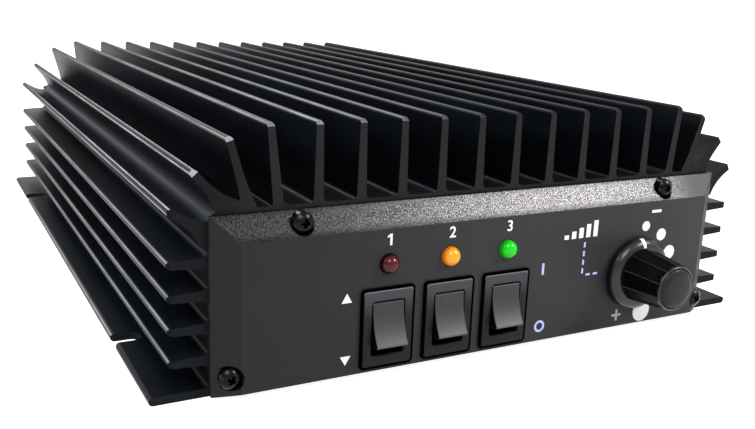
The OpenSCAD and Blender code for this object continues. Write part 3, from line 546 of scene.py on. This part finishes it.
def bandedResistor():
    # cement body with coloured rings near one end
    look = Finish("bandedResistor")
    along = look.axis("Y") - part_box("attenuator_resistors")[0].y
    pitch, gap, first, last = (size * mm for size in (2.6, 1.2, 1.5, 9.5))
    ring = (along % pitch).ramp(gap, gap + 0.1 * mm) * (along < last) * (along > first)
    hue = look.blend((along * 90) % 1.0, ink("#7a3a1c"), ink("#c9a02c"))  # changes from ring to ring
    grain = look.noise(1800, 3, 0.6)
    body = look.blend(grain, ink("#6d7869"), ink("#8b9585"))
    return look.done(Base_Color=look.blend(ring, body, hue), Roughness=0.55 + grain * 0.1)


def sleevedCan():
    # shrink sleeve with a pale stripe down one side
    look = Finish("sleevedCan")
    middle, half = -52 * mm, 1.6 * mm
    stripe = (look.axis("X") - middle).magnitude() < half
    band = look.noise(400, 2, 0.5, stretch=(1, 1, 0.1))
    sleeve = look.blend(band, ink("#16223a"), ink("#22335a"))
    return look.done(Base_Color=look.blend(stripe, sleeve, ink("#a9b2c4")), Roughness=0.26 + band * 0.1,
                     Coat_Weight=0.4)


def ceramicPower():
    # a gilt flange above a pale ceramic can
    look = Finish("ceramicPower")
    canHeight = 3.3 * mm
    metal = look.axis("Z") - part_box("power_transistors")[0].z > canHeight
    grain = look.noise(900, 3, 0.6)
    can = look.blend(grain, ink("#d8d4c8"), ink("#ece8dd"))
    return look.done(Base_Color=look.blend(metal, can, ink("#c8a552")), Metallic=metal * 0.9,
                     Roughness=0.5 - metal * 0.2 + grain * 0.05)


finishes = {
    "heatsink": anodisedBlack(finSettings), "edge": wornEdge(finSettings),
    "frontPanel": panelCoat("frontPanelCoat", "#38383a", "#1b1b1d", coatSettings),
    "rearPanel": panelCoat("rearPanelCoat", "#1d1d1f", "#18181a", coatSettings),
    "cover": mouldedPlastic("coverPaint", "#141517", "#1c1d1f", 0.42, texture=2600),
    "screw": blackOxide(),
    "bezel": bezelPlastic(bezelSettings),
    "rocker": rockerPlastic(),
    "knob": mouldedPlastic("knobGloss", "#040405", "#08080a", 0.25, texture=900, shine=0.42),
    "grip": gripPlastic(knobSettings),
    "cap": mouldedPlastic("capSatin", "#1a1b1c", "#212223", 0.3, texture=3000, shine=0.14),
    "gland": mouldedPlastic("glandNylon", "#0c0c0e", "#141416", 0.45),
    "redLamp": lampLens("redLens", "#180001", "#520306", 0.06, 0.26),
    "amberLamp": lampLens("amberLens", "#b85e02", "#e3940c", 0.42, 0.4),
    "greenLamp": lampLens("greenLens", "#018409", "#03b810", 0.5, 0.3),
    "white": paint("whiteInk", "#fbfcff", "#ebecef"),
    "blue": paint("paleBlueInk", "#bfcdf6", "#aabcee"),
    "grey": paint("greyInk", "#c4c6c9", "#a6a8ab"),
    "steel": plainMetal("zincSteel", "#7d7f82", "#a6a8ab", 0.3),
    "nickel": plainMetal("nickelPlate", "#8f8d86", "#b3b0a8", 0.24),
    "brass": plainMetal("brass", "#b08d45", "#d0b066", 0.26),
    "copper": plainMetal("copper", "#a5633a", "#cc8452", 0.3),
    "tinned": plainMetal("tinnedBrass", "#b3aa90", "#cdc6b2", 0.34),
    "board": boardGreen(),
    "coils": enamelWire("coilWire", "#7a3218", "#c8703c", (26, 24), (-46, 64.75)),
    "choke": enamelWire("chokeWire", "#8a7a24", "#e0cc5c", (80, 80), (46, -60.75)),
    "ferrite": ferrite(), "resistors": bandedResistor(), "cans": sleevedCan(), "power": ceramicPower(),
    "mica": mouldedPlastic("micaBlock", "#8d6c2f", "#b8924c", 0.35, texture=1200, coat=0.4),
    "relay": mouldedPlastic("relayCase", "#c9cacc", "#dfe0e2", 0.38),
    "fuse": mouldedPlastic("fuseAmber", "#c9741c", "#e59a3c", 0.2, texture=500, coat=0.5),
    "holder": mouldedPlastic("holderPlastic", "#1b1c1e", "#26272a", 0.45),
    "phenolic": mouldedPlastic("phenolic", "#3b332b", "#51463a", 0.5, texture=1500),
    "fluoro": mouldedPlastic("fluoroplastic", "#e6e3da", "#f4f2ec", 0.4, texture=1200),
}
nodeFinishes = {
    "bottom_cover": "cover", "bottom_cover_screws": "screw",
    "switch_terminals": "tinned", "selector_terminals": "tinned", "lamp_leads": "tinned",
    "indicator_board": "board", "main_board": "board",
    "indicator_board_screws": "steel", "board_screws": "steel", "transistor_screws": "steel",
    "socket_screws": "steel", "selector_shaft": "steel",
    "selector_nut": "nickel", "selector_washer": "nickel",
    "selector_body": "phenolic", "board_standoffs": "brass", "power_transistors": "power",
    "output_transformer_cores": "ferrite", "input_transformer_cores": "ferrite",
    "output_transformer_tubes": "copper", "input_transformer_tubes": "copper",
    "filter_coils": "coils", "filter_capacitors": "mica", "relays": "relay",
    "reservoir_capacitors": "cans", "supply_choke": "choke", "attenuator_resistors": "resistors",
    "fuse_holders": "holder", "blade_fuses": "fuse", "socket_insulators": "fluoro",
    "socket_contacts": "brass", "board_links": "copper",
}
for nodeName, finishName in nodeFinishes.items():
    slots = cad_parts[nodeName].data.materials
    slots.clear()
    slots.append(finishes[finishName])
print("finishes made:", len(finishes))


def place(name, data, body, *standsFor):
    # a piece made of the mesh, riding on a body, in place of the CAD nodes it stands for
    piece = linked(name, data)
    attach(piece, body)
    if standsFor:
        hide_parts(*standsFor)
    return piece


def smoothed(data, angle):
    data.polygons.foreach_set("use_smooth", [True] * len(data.polygons))
    data.set_sharp_from_angle(angle=math.radians(angle))


def settled(piece):
    # the piece's modifiers are applied to its mesh
    seen = piece.evaluated_get(bpy.context.evaluated_depsgraph_get())
    data = bpy.data.meshes.new_from_object(seen)
    piece.modifiers.clear()
    piece.data = data
    return data


def pickWornGlintFaces(grid, spec):
    # the faces that take the worn edge with its painted glint: two faces of each rounded fin tip, one in
    # from either side, and the small chamfers of the upper fins
    long, wide = spec["tipLength"] * mm, spec["tipWidth"] * mm
    flat, square = spec["chamferTilt"]
    strips, chamfers = set(), set()
    for face in grid.faces:
        spot = face.calc_center_median()
        small = face.calc_area() < spec["chamferArea"] * mm * mm
        if small and flat < abs(face.normal.y) < square and spot.z > spec["chamferFloor"] * mm:
            chamfers.add(face)
        aside, above = (abs(abs(c) - k * mm) for c, k in zip((spot.x, spot.z), spec["knuckle"]))
        if max(aside, above) < spec["knuckleReach"] * mm:
            continue
        longest = max(e.calc_length() for e in face.edges)
        bends = [e for e in face.edges if e.calc_length() > 0.5 * longest]
        if longest > long and face.calc_area() < wide * longest and all(
                e.is_manifold and e.is_convex for e in bends):
            strips.add(face)
    beside = {}
    for face in strips:
        sides = [e for e in face.edges if e.calc_length() > long]
        beside[face] = [other for e in sides for other in e.link_faces if other != face]
    outer = {face for face in strips if any(other not in strips for other in beside[face])}
    return chamfers | {face for face in strips - outer if any(other in outer for other in beside[face])}


def softened(nodeName, body, width, face, edge=None, reshape=None, segments=2):
    # a copy of a CAD node whose sharp edges are eased, so that they catch the light
    limit = 26  # degrees, the least bend that counts as an edge
    grid = bmesh.new()
    grid.from_mesh(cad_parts[nodeName].data)
    bmesh.ops.remove_doubles(grid, verts=grid.verts, dist=weld)
    bmesh.ops.dissolve_limit(grid, angle_limit=math.radians(0.4), verts=grid.verts, edges=grid.edges)
    wornGlintFaces = pickWornGlintFaces(grid, finSettings) if edge else []
    for polygon in grid.faces:
        polygon.material_index = 1 if polygon in wornGlintFaces else 0
    if reshape:
        for vertex in grid.verts:
            vertex.co = reshape(vertex.co / mm) * mm
    data = bpy.data.meshes.new(nodeName + "_eased")
    for finish in (face, edge or face):
        data.materials.append(finishes[finish])
    grid.to_mesh(data)
    grid.free()
    smoothed(data, limit)
    piece = linked(nodeName + "_eased", data)
    if width:
        bevel = piece.modifiers.new("eased", "BEVEL")
        bevel.width, bevel.segments, bevel.use_clamp_overlap = width * mm, segments, False
        bevel.limit_method, bevel.angle_limit = "ANGLE", math.radians(limit)
    even = piece.modifiers.new("even", "WEIGHTED_NORMAL")
    even.keep_sharp, even.weight = True, 100
    settled(piece)
    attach(piece, body)
    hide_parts(nodeName)
    return piece


switchSettings = {
    "middles": (-34.1, -16.5, 1.1), "names": ("mode", "preamp", "power"), "height": 12.8,
    "windowReach": 4.9, "windowGain": 1.07, "levels": ((0.0, 0.0), (0.4, 0.62), (0.7, 0.66), (1.0, 0.8)),
    "pivot": 2.4, "tilt": 16, "tipDepth": 5.0, "tipReach": 5.74, "extraDish": 0.5,
    "caseEdge": 0.07, "rockerEdge": 0.25,
}


def switchCaseShape(spec, middle):
    # a wider window, and a bezel that stands lower, with its shoulder nearly as high as its face
    def move(co):
        if abs(co.x - middle) < spec["windowReach"]:
            co.x = middle + (co.x - middle) * spec["windowGain"]
        proud = panelFace / mm - co.y
        for (low, newLow), (high, newHigh) in zip(spec["levels"], spec["levels"][1:]):
            if low < proud <= high + 0.01:
                co.y = panelFace / mm - newLow - (proud - low) / (high - low) * (newHigh - newLow)
        return co
    return move


def rockerShape(spec, middle):
    # a wider rocker with a deeper dish, worked out in the rocker's own tilted frame
    pivot = Vector((0, panelFace / mm + spec["pivot"], spec["height"]))
    tilt = Matrix.Rotation(math.radians(-spec["tilt"]), 3, "X")

    def move(co):
        own = tilt.inverted() @ (co - pivot)
        if own.y < 1 - spec["tipDepth"]:
            own.y += spec["extraDish"] * max(0, 1 - (own.z / spec["tipReach"]) ** 2)
        co = tilt @ own + pivot
        if abs(co.x - middle) < spec["windowReach"]:
            co.x = middle + (co.x - middle) * spec["windowGain"]
        return co
    return move


easedNodes = {  # node: body, width of the eased edge in millimetres, finishes
    "heatsink_extrusion": ("amplifier", 0, "heatsink", "edge"),
    "front_panel": ("amplifier", 0.12, "frontPanel"), "rear_panel": ("amplifier", 0.12, "rearPanel"),
    "supply_gland": ("amplifier", 0.12, "gland"),
}
for nodeName, how in easedNodes.items():
    softened(nodeName, *how)
for middle, name in zip(switchSettings["middles"], switchSettings["names"]):
    softened(name + "_switch_case", "amplifier", switchSettings["caseEdge"], "bezel",
             reshape=switchCaseShape(switchSettings, middle))
    softened(name + "_rocker", name + "_switch", switchSettings["rockerEdge"], "rocker", segments=3,
             reshape=rockerShape(switchSettings, middle))
print("castings, extrusion and mouldings eased")


def drawn(name, grid, finish):
    # the grid as a mesh of one finish, its faces turned outwards
    bmesh.ops.recalc_face_normals(grid, faces=grid.faces)
    data = bpy.data.meshes.new(name)
    grid.to_mesh(data)
    grid.free()
    data.materials.append(finishes[finish])
    return data


def addPrism(grid, ends):
    # a closed shape between two outlines
    ends = [[grid.verts.new(corner) for corner in end] for end in ends]
    for end in ends:
        grid.faces.new(end)
    for i in range(len(ends[0])):
        j = (i + 1) % len(ends[0])
        grid.faces.new((ends[0][i], ends[0][j], ends[1][j], ends[1][i]))


def turned(name, outline, across, start, finish):
    # an outline of (radius, distance in front of start) spun round a line along Y
    steps = 96
    grid = bmesh.new()
    rings = []
    for step in range(steps):
        turn = math.tau * step / steps
        rings.append([grid.verts.new(((across[0] + r * math.sin(turn)) * mm, start - d * mm,
                                      (across[1] + r * math.cos(turn)) * mm)) for r, d in outline])
    for step, ring in enumerate(rings):
        after = rings[(step + 1) % steps]
        for i in range(len(outline) - 1):
            grid.faces.new((ring[i], ring[i + 1], after[i + 1], after[i]))
    bmesh.ops.remove_doubles(grid, verts=grid.verts, dist=weld)
    data = drawn(name, grid, finish)
    smoothed(data, 34)
    return data


def arcOutline(centre, radius, first, last, count):
    points = [math.radians(first + (last - first) * i / (count - 1)) for i in range(count)]
    return [(centre[0] + radius * math.sin(a), centre[1] + radius * math.cos(a)) for a in points]


def joined(name, meshes):
    # several meshes as one, each with its own finish
    grid = bmesh.new()
    finishList = []
    for data in meshes:
        before = len(grid.faces)
        grid.from_mesh(data)
        grid.faces.ensure_lookup_table()
        for face in grid.faces[before:]:
            face.material_index = len(finishList)
        finishList.append(data.materials[0])
    whole = bpy.data.meshes.new(name)
    grid.to_mesh(whole)
    grid.free()
    for finish in finishList:
        whole.materials.append(finish)
    return whole


# control knob: the grip is grown from its rule, the skirt and cap are turned, the pointer painted on
def growGrip(spec):
    start, end = spec["gap"] + spec["skirtEdge"] + spec["skirtRound"] - spec["sunk"], spec["gripEnd"]
    sizes = inMetres(spec, "gripRoot", "gripTip", "fluteDepth", "ridgeHeight")
    sizes["reach"] = (end - start) * mm
    for key in ("flutes", "ridgeShare", "facets"):
        sizes[key] = spec[key]
    tree = Growth("flutedGrip", sizes, whole=("facets",))
    tube = tree.cylinder(tree.given("facets"), 1.0, 1.0, sections=12)
    spot = tree.add("GeometryNodeInputPosition")
    x, y, z = (tree.add("ShaderNodeSeparateXYZ", None, [spot], out=i) for i in range(3))
    along = z + 0.5
    around = y.apply("ARCTAN2", x)
    trough = (around * tree.given("flutes") / 2).apply("COSINE").magnitude()
    ridge = (1 - trough / tree.given("ridgeShare")).atLeast(0.0)
    fade = (1 - along).ramp(0.0, spec["fadeShare"])  # flutes and ridges run out just before the end
    root, tip = tree.given("gripRoot"), tree.given("gripTip")
    carving = ridge * tree.given("ridgeHeight") - trough * tree.given("fluteDepth")
    radius = root + along * (tip - root) + carving * fade
    shaped = tree.add("GeometryNodeSetPosition", None, {
        "Geometry": tube, "Position": tree.vector(x * radius, y * radius, along * tree.given("reach"))})
    upright = tree.moved(shaped, Rotation=(math.radians(90), 0, 0), Translation=(
        spec["axis"][0] * mm, panelFace - start * mm, spec["axis"][1] * mm))
    data = tree.grow(upright, finishes["grip"])
    smoothed(data, 24)
    return data


def skirtPointer(spec):
    # a painted stroke over the skirt's round edge, a little left of straight up
    low, high = spec["pointerArc"]
    angle, spread = spec["pointerAngle"], spec["pointerSpread"]
    centre = (spec["skirtRadius"] - spec["skirtRound"], spec["gap"] + spec["skirtEdge"])
    outer = arcOutline(centre, spec["skirtRound"] + spec["pointerProud"], low, high, 12)
    inner = arcOutline(centre, spec["skirtRound"] - spec["pointerSink"], high, low, 12)
    grid = bmesh.new()
    addPrism(grid, [[((spec["axis"][0] + r * math.sin(turn)) * mm, panelFace - d * mm,
                      (spec["axis"][1] + r * math.cos(turn)) * mm) for r, d in outer + inner]
                    for turn in (math.radians(angle - spread), math.radians(angle + spread))])
    return drawn("skirtPointer", grid, "white")


def makeKnob(spec):
    # skirt, rim and cap run a little way into each other, so that no gap shows between them
    gap, radius, bend, chamfer = (spec[key] for key in ("gap", "skirtRadius", "skirtRound", "footChamfer"))
    lip = gap + spec["skirtEdge"]
    skirt = [(0, gap), (radius - chamfer, gap), (radius, gap + chamfer)]
    skirt += arcOutline((radius - bend, lip), bend, 90, 0, 12)
    skirt += [(0, lip + bend)]
    end, tip, rimBend = spec["gripEnd"], spec["gripTip"], spec["rimRound"]
    reach, inset, capBend = spec["capRadius"], spec["inset"], spec["capRound"]
    opening, capEdge = reach + inset, reach - inset / 2
    rim = [(0, end - spec["sunk"]), (tip - inset / 2, end - spec["sunk"])]
    rim += arcOutline((tip - rimBend, end), rimBend, 90, 0, 6)
    rim += [(opening, end + rimBend), (opening, end - inset), (0, end - inset)]
    edge = end + rimBend + spec["capProud"]
    cap = [(0, end - inset * 2), (capEdge, end - inset * 2)]
    cap += arcOutline((capEdge - capBend, edge - capBend), capBend, 90, 12, 8)
    cap += [(reach * k, edge + spec["crown"] * (1 - k * k)) for k in (0.82, 0.7, 0.5, 0.3, 0.12, 0)]
    parts = [growGrip(spec)]
    for name, outline, finish in (("skirt", skirt, "knob"), ("rim", rim, "knob"), ("cap", cap, "cap")):
        parts.append(turned(name, outline, spec["axis"], panelFace, finish))
    parts.append(skirtPointer(spec))
    return place("controlKnob", joined("controlKnob", parts), "output_selector", "output_knob")


makeKnob(knobSettings)
print("knob made")

# indicator lamps: a domed lens on a flanged body
lampSettings = {
    "height": 29.1, "radius": 2.5, "foot": 2.9, "footHeight": 1, "base": 6.1,
    "nodes": ("transmit_lamp", "preamp_lamp", "power_lamp"),
    "finishes": ("redLamp", "amberLamp", "greenLamp"),
}


def makeLamp(nodeName, x, finish, spec):
    low, high = -spec["base"], spec["footHeight"] - spec["base"]
    outline = [(0, low), (spec["foot"], low), (spec["foot"], high), (spec["radius"], high)]
    outline += arcOutline((0, 0), spec["radius"], 90, 0, 24)
    data = turned(nodeName + "_lens", outline, (x, spec["height"]), panelFace, finish)
    return place(nodeName + "_lens", data, "amplifier", nodeName)


for nodeName, x, finish in zip(lampSettings["nodes"], switchSettings["middles"], lampSettings["finishes"]):
    makeLamp(nodeName, x, finish, lampSettings)
print("lamps made")

# threaded sockets: the shell is cut back to the thread's root and a helix wound on it
socketSettings = {
    "nodes": ("input_socket", "output_socket"), "height": 20.0, "crest": 7.93, "root": 7.45,
    "pitch": 1.06, "first": 1.3, "turns": 9.0, "lift": 0.08, "trim": 0.1,
    "barrel": 11.7, "shell": (7.7, 8.1),
}


def growThread(spec, name, x, flangeFace):
    tree = Growth(name, {"radius": (spec["root"] + spec["lift"]) * mm, "turns": spec["turns"],
                         "reach": spec["pitch"] * spec["turns"] * mm,
                         "ridge": (spec["crest"] - spec["root"] - spec["trim"]) * mm})
    coil = tree.add("GeometryNodeCurveSpiral", None, {
        "Resolution": 56, "Rotations": tree.given("turns"), "Start Radius": tree.given("radius"),
        "End Radius": tree.given("radius"), "Height": tree.given("reach")})
    ridge = tree.add("GeometryNodeCurvePrimitiveCircle", {"mode": "RADIUS"}, {
        "Resolution": 4, "Radius": tree.given("ridge")})
    wound = tree.add("GeometryNodeCurveToMesh", None, {0: coil, 1: ridge, "Fill Caps": True})
    seated = tree.moved(wound, Rotation=(math.radians(-90), 0, 0), Translation=(
        x * mm, flangeFace + spec["first"] * mm, spec["height"] * mm))
    data = tree.grow(seated, finishes["nickel"])
    smoothed(data, 30)
    return data


def makeSocket(nodeName, spec):
    low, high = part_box(nodeName)
    x, flangeFace = (low.x + high.x) / 2 / mm, high.y / mm - spec["barrel"]
    inner, outer = spec["shell"]

    def cutBack(co):
        # only the barrel's shell, beyond the flange
        out = Vector((co.x - x, 0, co.z - spec["height"]))
        if inner < out.length < outer and co.y > flangeFace + 0.1:
            out *= spec["root"] / out.length
            co.x, co.z = x + out.x, spec["height"] + out.z
        return co
    softened(nodeName, "amplifier", 0.1, "nickel", reshape=cutBack)
    name = nodeName + "_thread"
    thread = place(name, growThread(spec, name, x, flangeFace * mm), "amplifier")


for nodeName in socketSettings["nodes"]:
    makeSocket(nodeName, socketSettings)
print("sockets made")

# pan head screws with a cross recess, each set grown from four points on its panel
screwSettings = {
    "headRadius": 2.6, "headHeight": 3.1, "domeRadius": 3.3, "shankRadius": 1.4, "shankLength": 12.0,
    "recessReach": 1.6, "recessTaper": (1.12, 0.45), "recessWidth": 0.36, "recessDepth": 1.7,
    "recessProud": 0.1, "spin": 0.7, "seed": 7, "seatDepth": 3.0,
    "places": [(56.3, 41.1), (-56.3, 41.1), (74.0, 5.35), (-74.0, 5.35)],
}


def growScrews(name, spec, seatY, side):
    # side is 1 where the heads look along +Y and -1 where they look along -Y
    sizes = inMetres(spec, "headRadius", "headHeight", "domeRadius", "shankRadius", "shankLength",
                     "recessReach", "recessDepth")
    tree = Growth(name, {**sizes, "recessWidth": spec["recessWidth"]})
    height, dome = tree.given("headHeight"), tree.given("domeRadius")
    ball = tree.add("GeometryNodeMeshUVSphere", None, {"Segments": 64, "Rings": 96, "Radius": dome})
    lifted = tree.moved(ball, Translation=tree.vector(0.0, 0.0, height - dome))
    puck = tree.cylinder(48, tree.given("headRadius"), height * 2)
    shell = tree.carved("INTERSECT", {1: [lifted, puck]})
    top, bottom = spec["recessTaper"]
    lift = height - tree.given("recessDepth") + spec["recessProud"] * mm
    blades = []
    for turn in (0, 90):
        blade = tree.add("GeometryNodeMeshCone", {"fill_type": "NGON"}, {
            "Vertices": 4, "Radius Top": tree.given("recessReach") * top,
            "Radius Bottom": tree.given("recessReach") * bottom, "Depth": tree.given("recessDepth")})
        squared = tree.moved(blade, Rotation=(0, 0, math.radians(45)))
        thin = tree.moved(squared, Scale=tree.vector(1.0, tree.given("recessWidth"), 1.0))
        blades.append(tree.moved(thin, Rotation=(0, 0, math.radians(turn)),
                                 Translation=tree.vector(0.0, 0.0, lift)))
    head = tree.carved("DIFFERENCE", {0: shell, 1: blades})
    shank = tree.cylinder(24, tree.given("shankRadius"), tree.given("shankLength"))
    sunk = tree.moved(shank, Translation=tree.vector(0.0, 0.0, tree.given("shankLength") * -0.5))
    screw = tree.add("GeometryNodeJoinGeometry", None, [[head, sunk]])
    placed = tree.add("GeometryNodeInstanceOnPoints", None, {
        "Points": tree.given(), "Instance": screw, "Rotation": (math.radians(-90 * side), 0, 0)})
    turn = tree.add("FunctionNodeRandomValue", {"data_type": "FLOAT"}, {
        2: -spec["spin"], 3: spec["spin"], "Seed": spec["seed"]}, out=1)
    spun = tree.add("GeometryNodeRotateInstances", None, {
        "Instances": placed, "Rotation": tree.vector(0.0, 0.0, turn)})
    points = [(-side * x, seatY, z) for x, z in spec["places"]]
    data = tree.grow(spun, finishes["screw"], points)
    smoothed(data, 32)
    return data


frontSeat = panelFace / mm + screwSettings["seatDepth"]
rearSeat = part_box("rear_panel")[1].y / mm - screwSettings["seatDepth"]
for name, seatY, side, nodeName in (("frontScrews", frontSeat, -1, "front_panel_screws"),
                                    ("rearScrews", rearSeat, 1, "rear_panel_screws")):
    place(name, growScrews(name, screwSettings, seatY, side), "amplifier", nodeName)
print("screws made")

# painted marks: growing dots round the knob, a dashed guide line, and plain signs
markSettings = {
    "sink": 0.05, "proud": 0.03,
    "dots": {"centre": (46.78, 17.58), "ring": 13.42, "first": 11.1, "step": 30.0,
             "count": 6, "small": 1.45, "growth": 0.34},
    "dashes": {"down": [(27.2, 27.5), (27.2, 19.95)], "along": [(29.3, 18.7), (31.9, 18.7)],
               "pitch": 2.5, "long": 1.5, "wide": 0.6},
    "one": [(-34.1, 33.75), (-33.5, 33.75), (-33.5, 36.65), (-34.0, 36.65),
            (-34.8, 36.15), (-34.8, 35.65), (-34.1, 36.0)],
    "digits": {"2": -16.2, "3": 1.4}, "digitMiddle": 35.2, "digitHeight": 2.9,
    "letterScale": 1.4, "bolder": 0.06,
    "upDown": [[(-46.7, 20.4), (-43.9, 20.4), (-45.3, 22.8)], [(-46.7, 6.6), (-45.3, 4.2), (-43.9, 6.6)]],
    "bars": {"count": 5, "left": 20.6, "foot": 29.6, "pitch": 2.5, "wide": 1.5, "low": 1.2, "growth": 0.85},
    "minus": [(52.8, 34.9, 3.6, 0.8)],  # each bar by its middle, width and height
    "plus": [(41.6, 4.9, 3.4, 0.75), (41.6, 5.94, 0.75, 1.33), (41.6, 3.86, 0.75, 1.33)],
    "on": [(13.4, 22.1, 0.75, 3.2)],
    "off": {"centre": (13.8, 5.6), "outer": 1.7, "inner": 1.05, "sides": 40},
}
markDepth = (markSettings["sink"] + markSettings["proud"]) * mm
markMiddle = panelFace + (markSettings["sink"] - markSettings["proud"]) / 2 * mm


def paintedPrism(name, finish, outlines):
    # outlines of (x, z) on the panel, each given a hair's thickness
    grid = bmesh.new()
    back, front = markMiddle + markDepth / 2, markMiddle - markDepth / 2
    for outline in outlines:
        addPrism(grid, [[(x * mm, y, z * mm) for x, z in outline] for y in (back, front)])
    return place(name, drawn(name, grid, finish), "amplifier")


def bar(x, z, wide, high):
    return [(x - wide / 2, z - high / 2), (x + wide / 2, z - high / 2),
            (x + wide / 2, z + high / 2), (x - wide / 2, z + high / 2)]


def growDots(spec):
    sizes = inMetres(spec, "ring", "small", "growth")
    sizes.update(first=math.radians(spec["first"]), step=math.radians(spec["step"]), count=spec["count"])
    tree = Growth("powerDots", sizes, whole=("count",))
    index = tree.add("GeometryNodeInputIndex")
    angle = tree.given("first") + index * tree.given("step")
    spots = tree.add("GeometryNodePoints", None, {
        "Count": tree.given("count"), "Position": tree.vector(
            angle.apply("SINE") * tree.given("ring") + spec["centre"][0] * mm, markMiddle,
            angle.apply("COSINE") * tree.given("ring") + spec["centre"][1] * mm)})
    disc = tree.cylinder(48, 1.0, markDepth)
    radius = tree.given("small") + index * tree.given("growth")
    placed = tree.add("GeometryNodeInstanceOnPoints", None, {
        "Points": spots, "Instance": disc, "Rotation": (math.radians(90), 0, 0),
        "Scale": tree.vector(radius, radius, 1.0)})
    data = tree.grow(placed, finishes["white"])
    return place("powerDots", data, "amplifier")


def growDashes(spec):
    tree = Growth("guideDashes", inMetres(spec, "pitch", "long", "wide"))
    legs = []
    for leg in (spec["down"], spec["along"]):
        first, last = (Vector((x * mm, markMiddle, z * mm)) for x, z in leg)
        line = tree.add("GeometryNodeCurvePrimitiveLine", None, {"Start": first, "End": last})
        steps = tree.add("GeometryNodeCurveToPoints", {"mode": "LENGTH"}, {
            "Curve": line, "Length": tree.given("pitch")})
        upright = abs(last.z - first.z) > abs(last.x - first.x)
        wide, high = (tree.given(name) for name in (("wide", "long") if upright else ("long", "wide")))
        dash = tree.add("GeometryNodeMeshCube", None, {"Size": tree.vector(wide, markDepth, high)})
        legs.append(tree.add("GeometryNodeInstanceOnPoints", None, {"Points": steps, "Instance": dash}))
    data = tree.grow(tree.add("GeometryNodeJoinGeometry", None, [legs]), finishes["blue"])
    return place("guideDashes", data, "amplifier")


def paintedDigit(name, digit, x, spec):
    letter = bpy.data.curves.new(name, "FONT")
    letter.body, letter.size = digit, spec["digitHeight"] * mm * spec["letterScale"]
    letter.align_x, letter.align_y = "CENTER", "CENTER"
    letter.extrude, letter.offset = markDepth / 2, spec["bolder"] * mm
    source = linked(name + "_source", letter)
    bpy.context.view_layer.update()
    data = bpy.data.meshes.new_from_object(source.evaluated_get(bpy.context.evaluated_depsgraph_get()))
    bpy.data.objects.remove(source)
    data.transform(Matrix.Translation((x * mm, markMiddle, spec["digitMiddle"] * mm))
                   @ Matrix.Rotation(math.radians(90), 4, "X"))
    data.materials.clear()
    data.materials.append(finishes["white"])
    return place(name, data, "amplifier")


def risingBars(spec):
    bars = []
    for i in range(spec["count"]):
        high = spec["low"] + spec["growth"] * i
        bars.append(bar(spec["left"] + spec["pitch"] * i, spec["foot"] + high / 2, spec["wide"], high))
    return bars


def ringOutline(spec):
    # out round the ring once and back round its inside, so that it closes on itself
    turns = [math.tau * i / spec["sides"] for i in range(spec["sides"] + 1)]
    x, z = spec["centre"]
    return [(x + radius * math.sin(a), z + radius * math.cos(a))
            for radius, path in ((spec["outer"], turns), (spec["inner"], turns[::-1])) for a in path]


growDots(markSettings["dots"])
growDashes(markSettings["dashes"])
paintedPrism("lampNumber1", "white", [markSettings["one"]])
for digit, x in markSettings["digits"].items():
    paintedDigit("lampNumber" + digit, digit, x, markSettings)
paintedPrism("modeMarks", "white", markSettings["upDown"])
paintedPrism("powerBars", "white", risingBars(markSettings["bars"]))
barMarks = (("lowMark", "white", "minus"), ("highMark", "grey", "plus"), ("onMark", "blue", "on"))
for name, finish, key in barMarks:
    paintedPrism(name, finish, [bar(*one) for one in markSettings[key]])
paintedPrism("offMark", "blue", [ringOutline(markSettings["off"])])
print("marks painted")
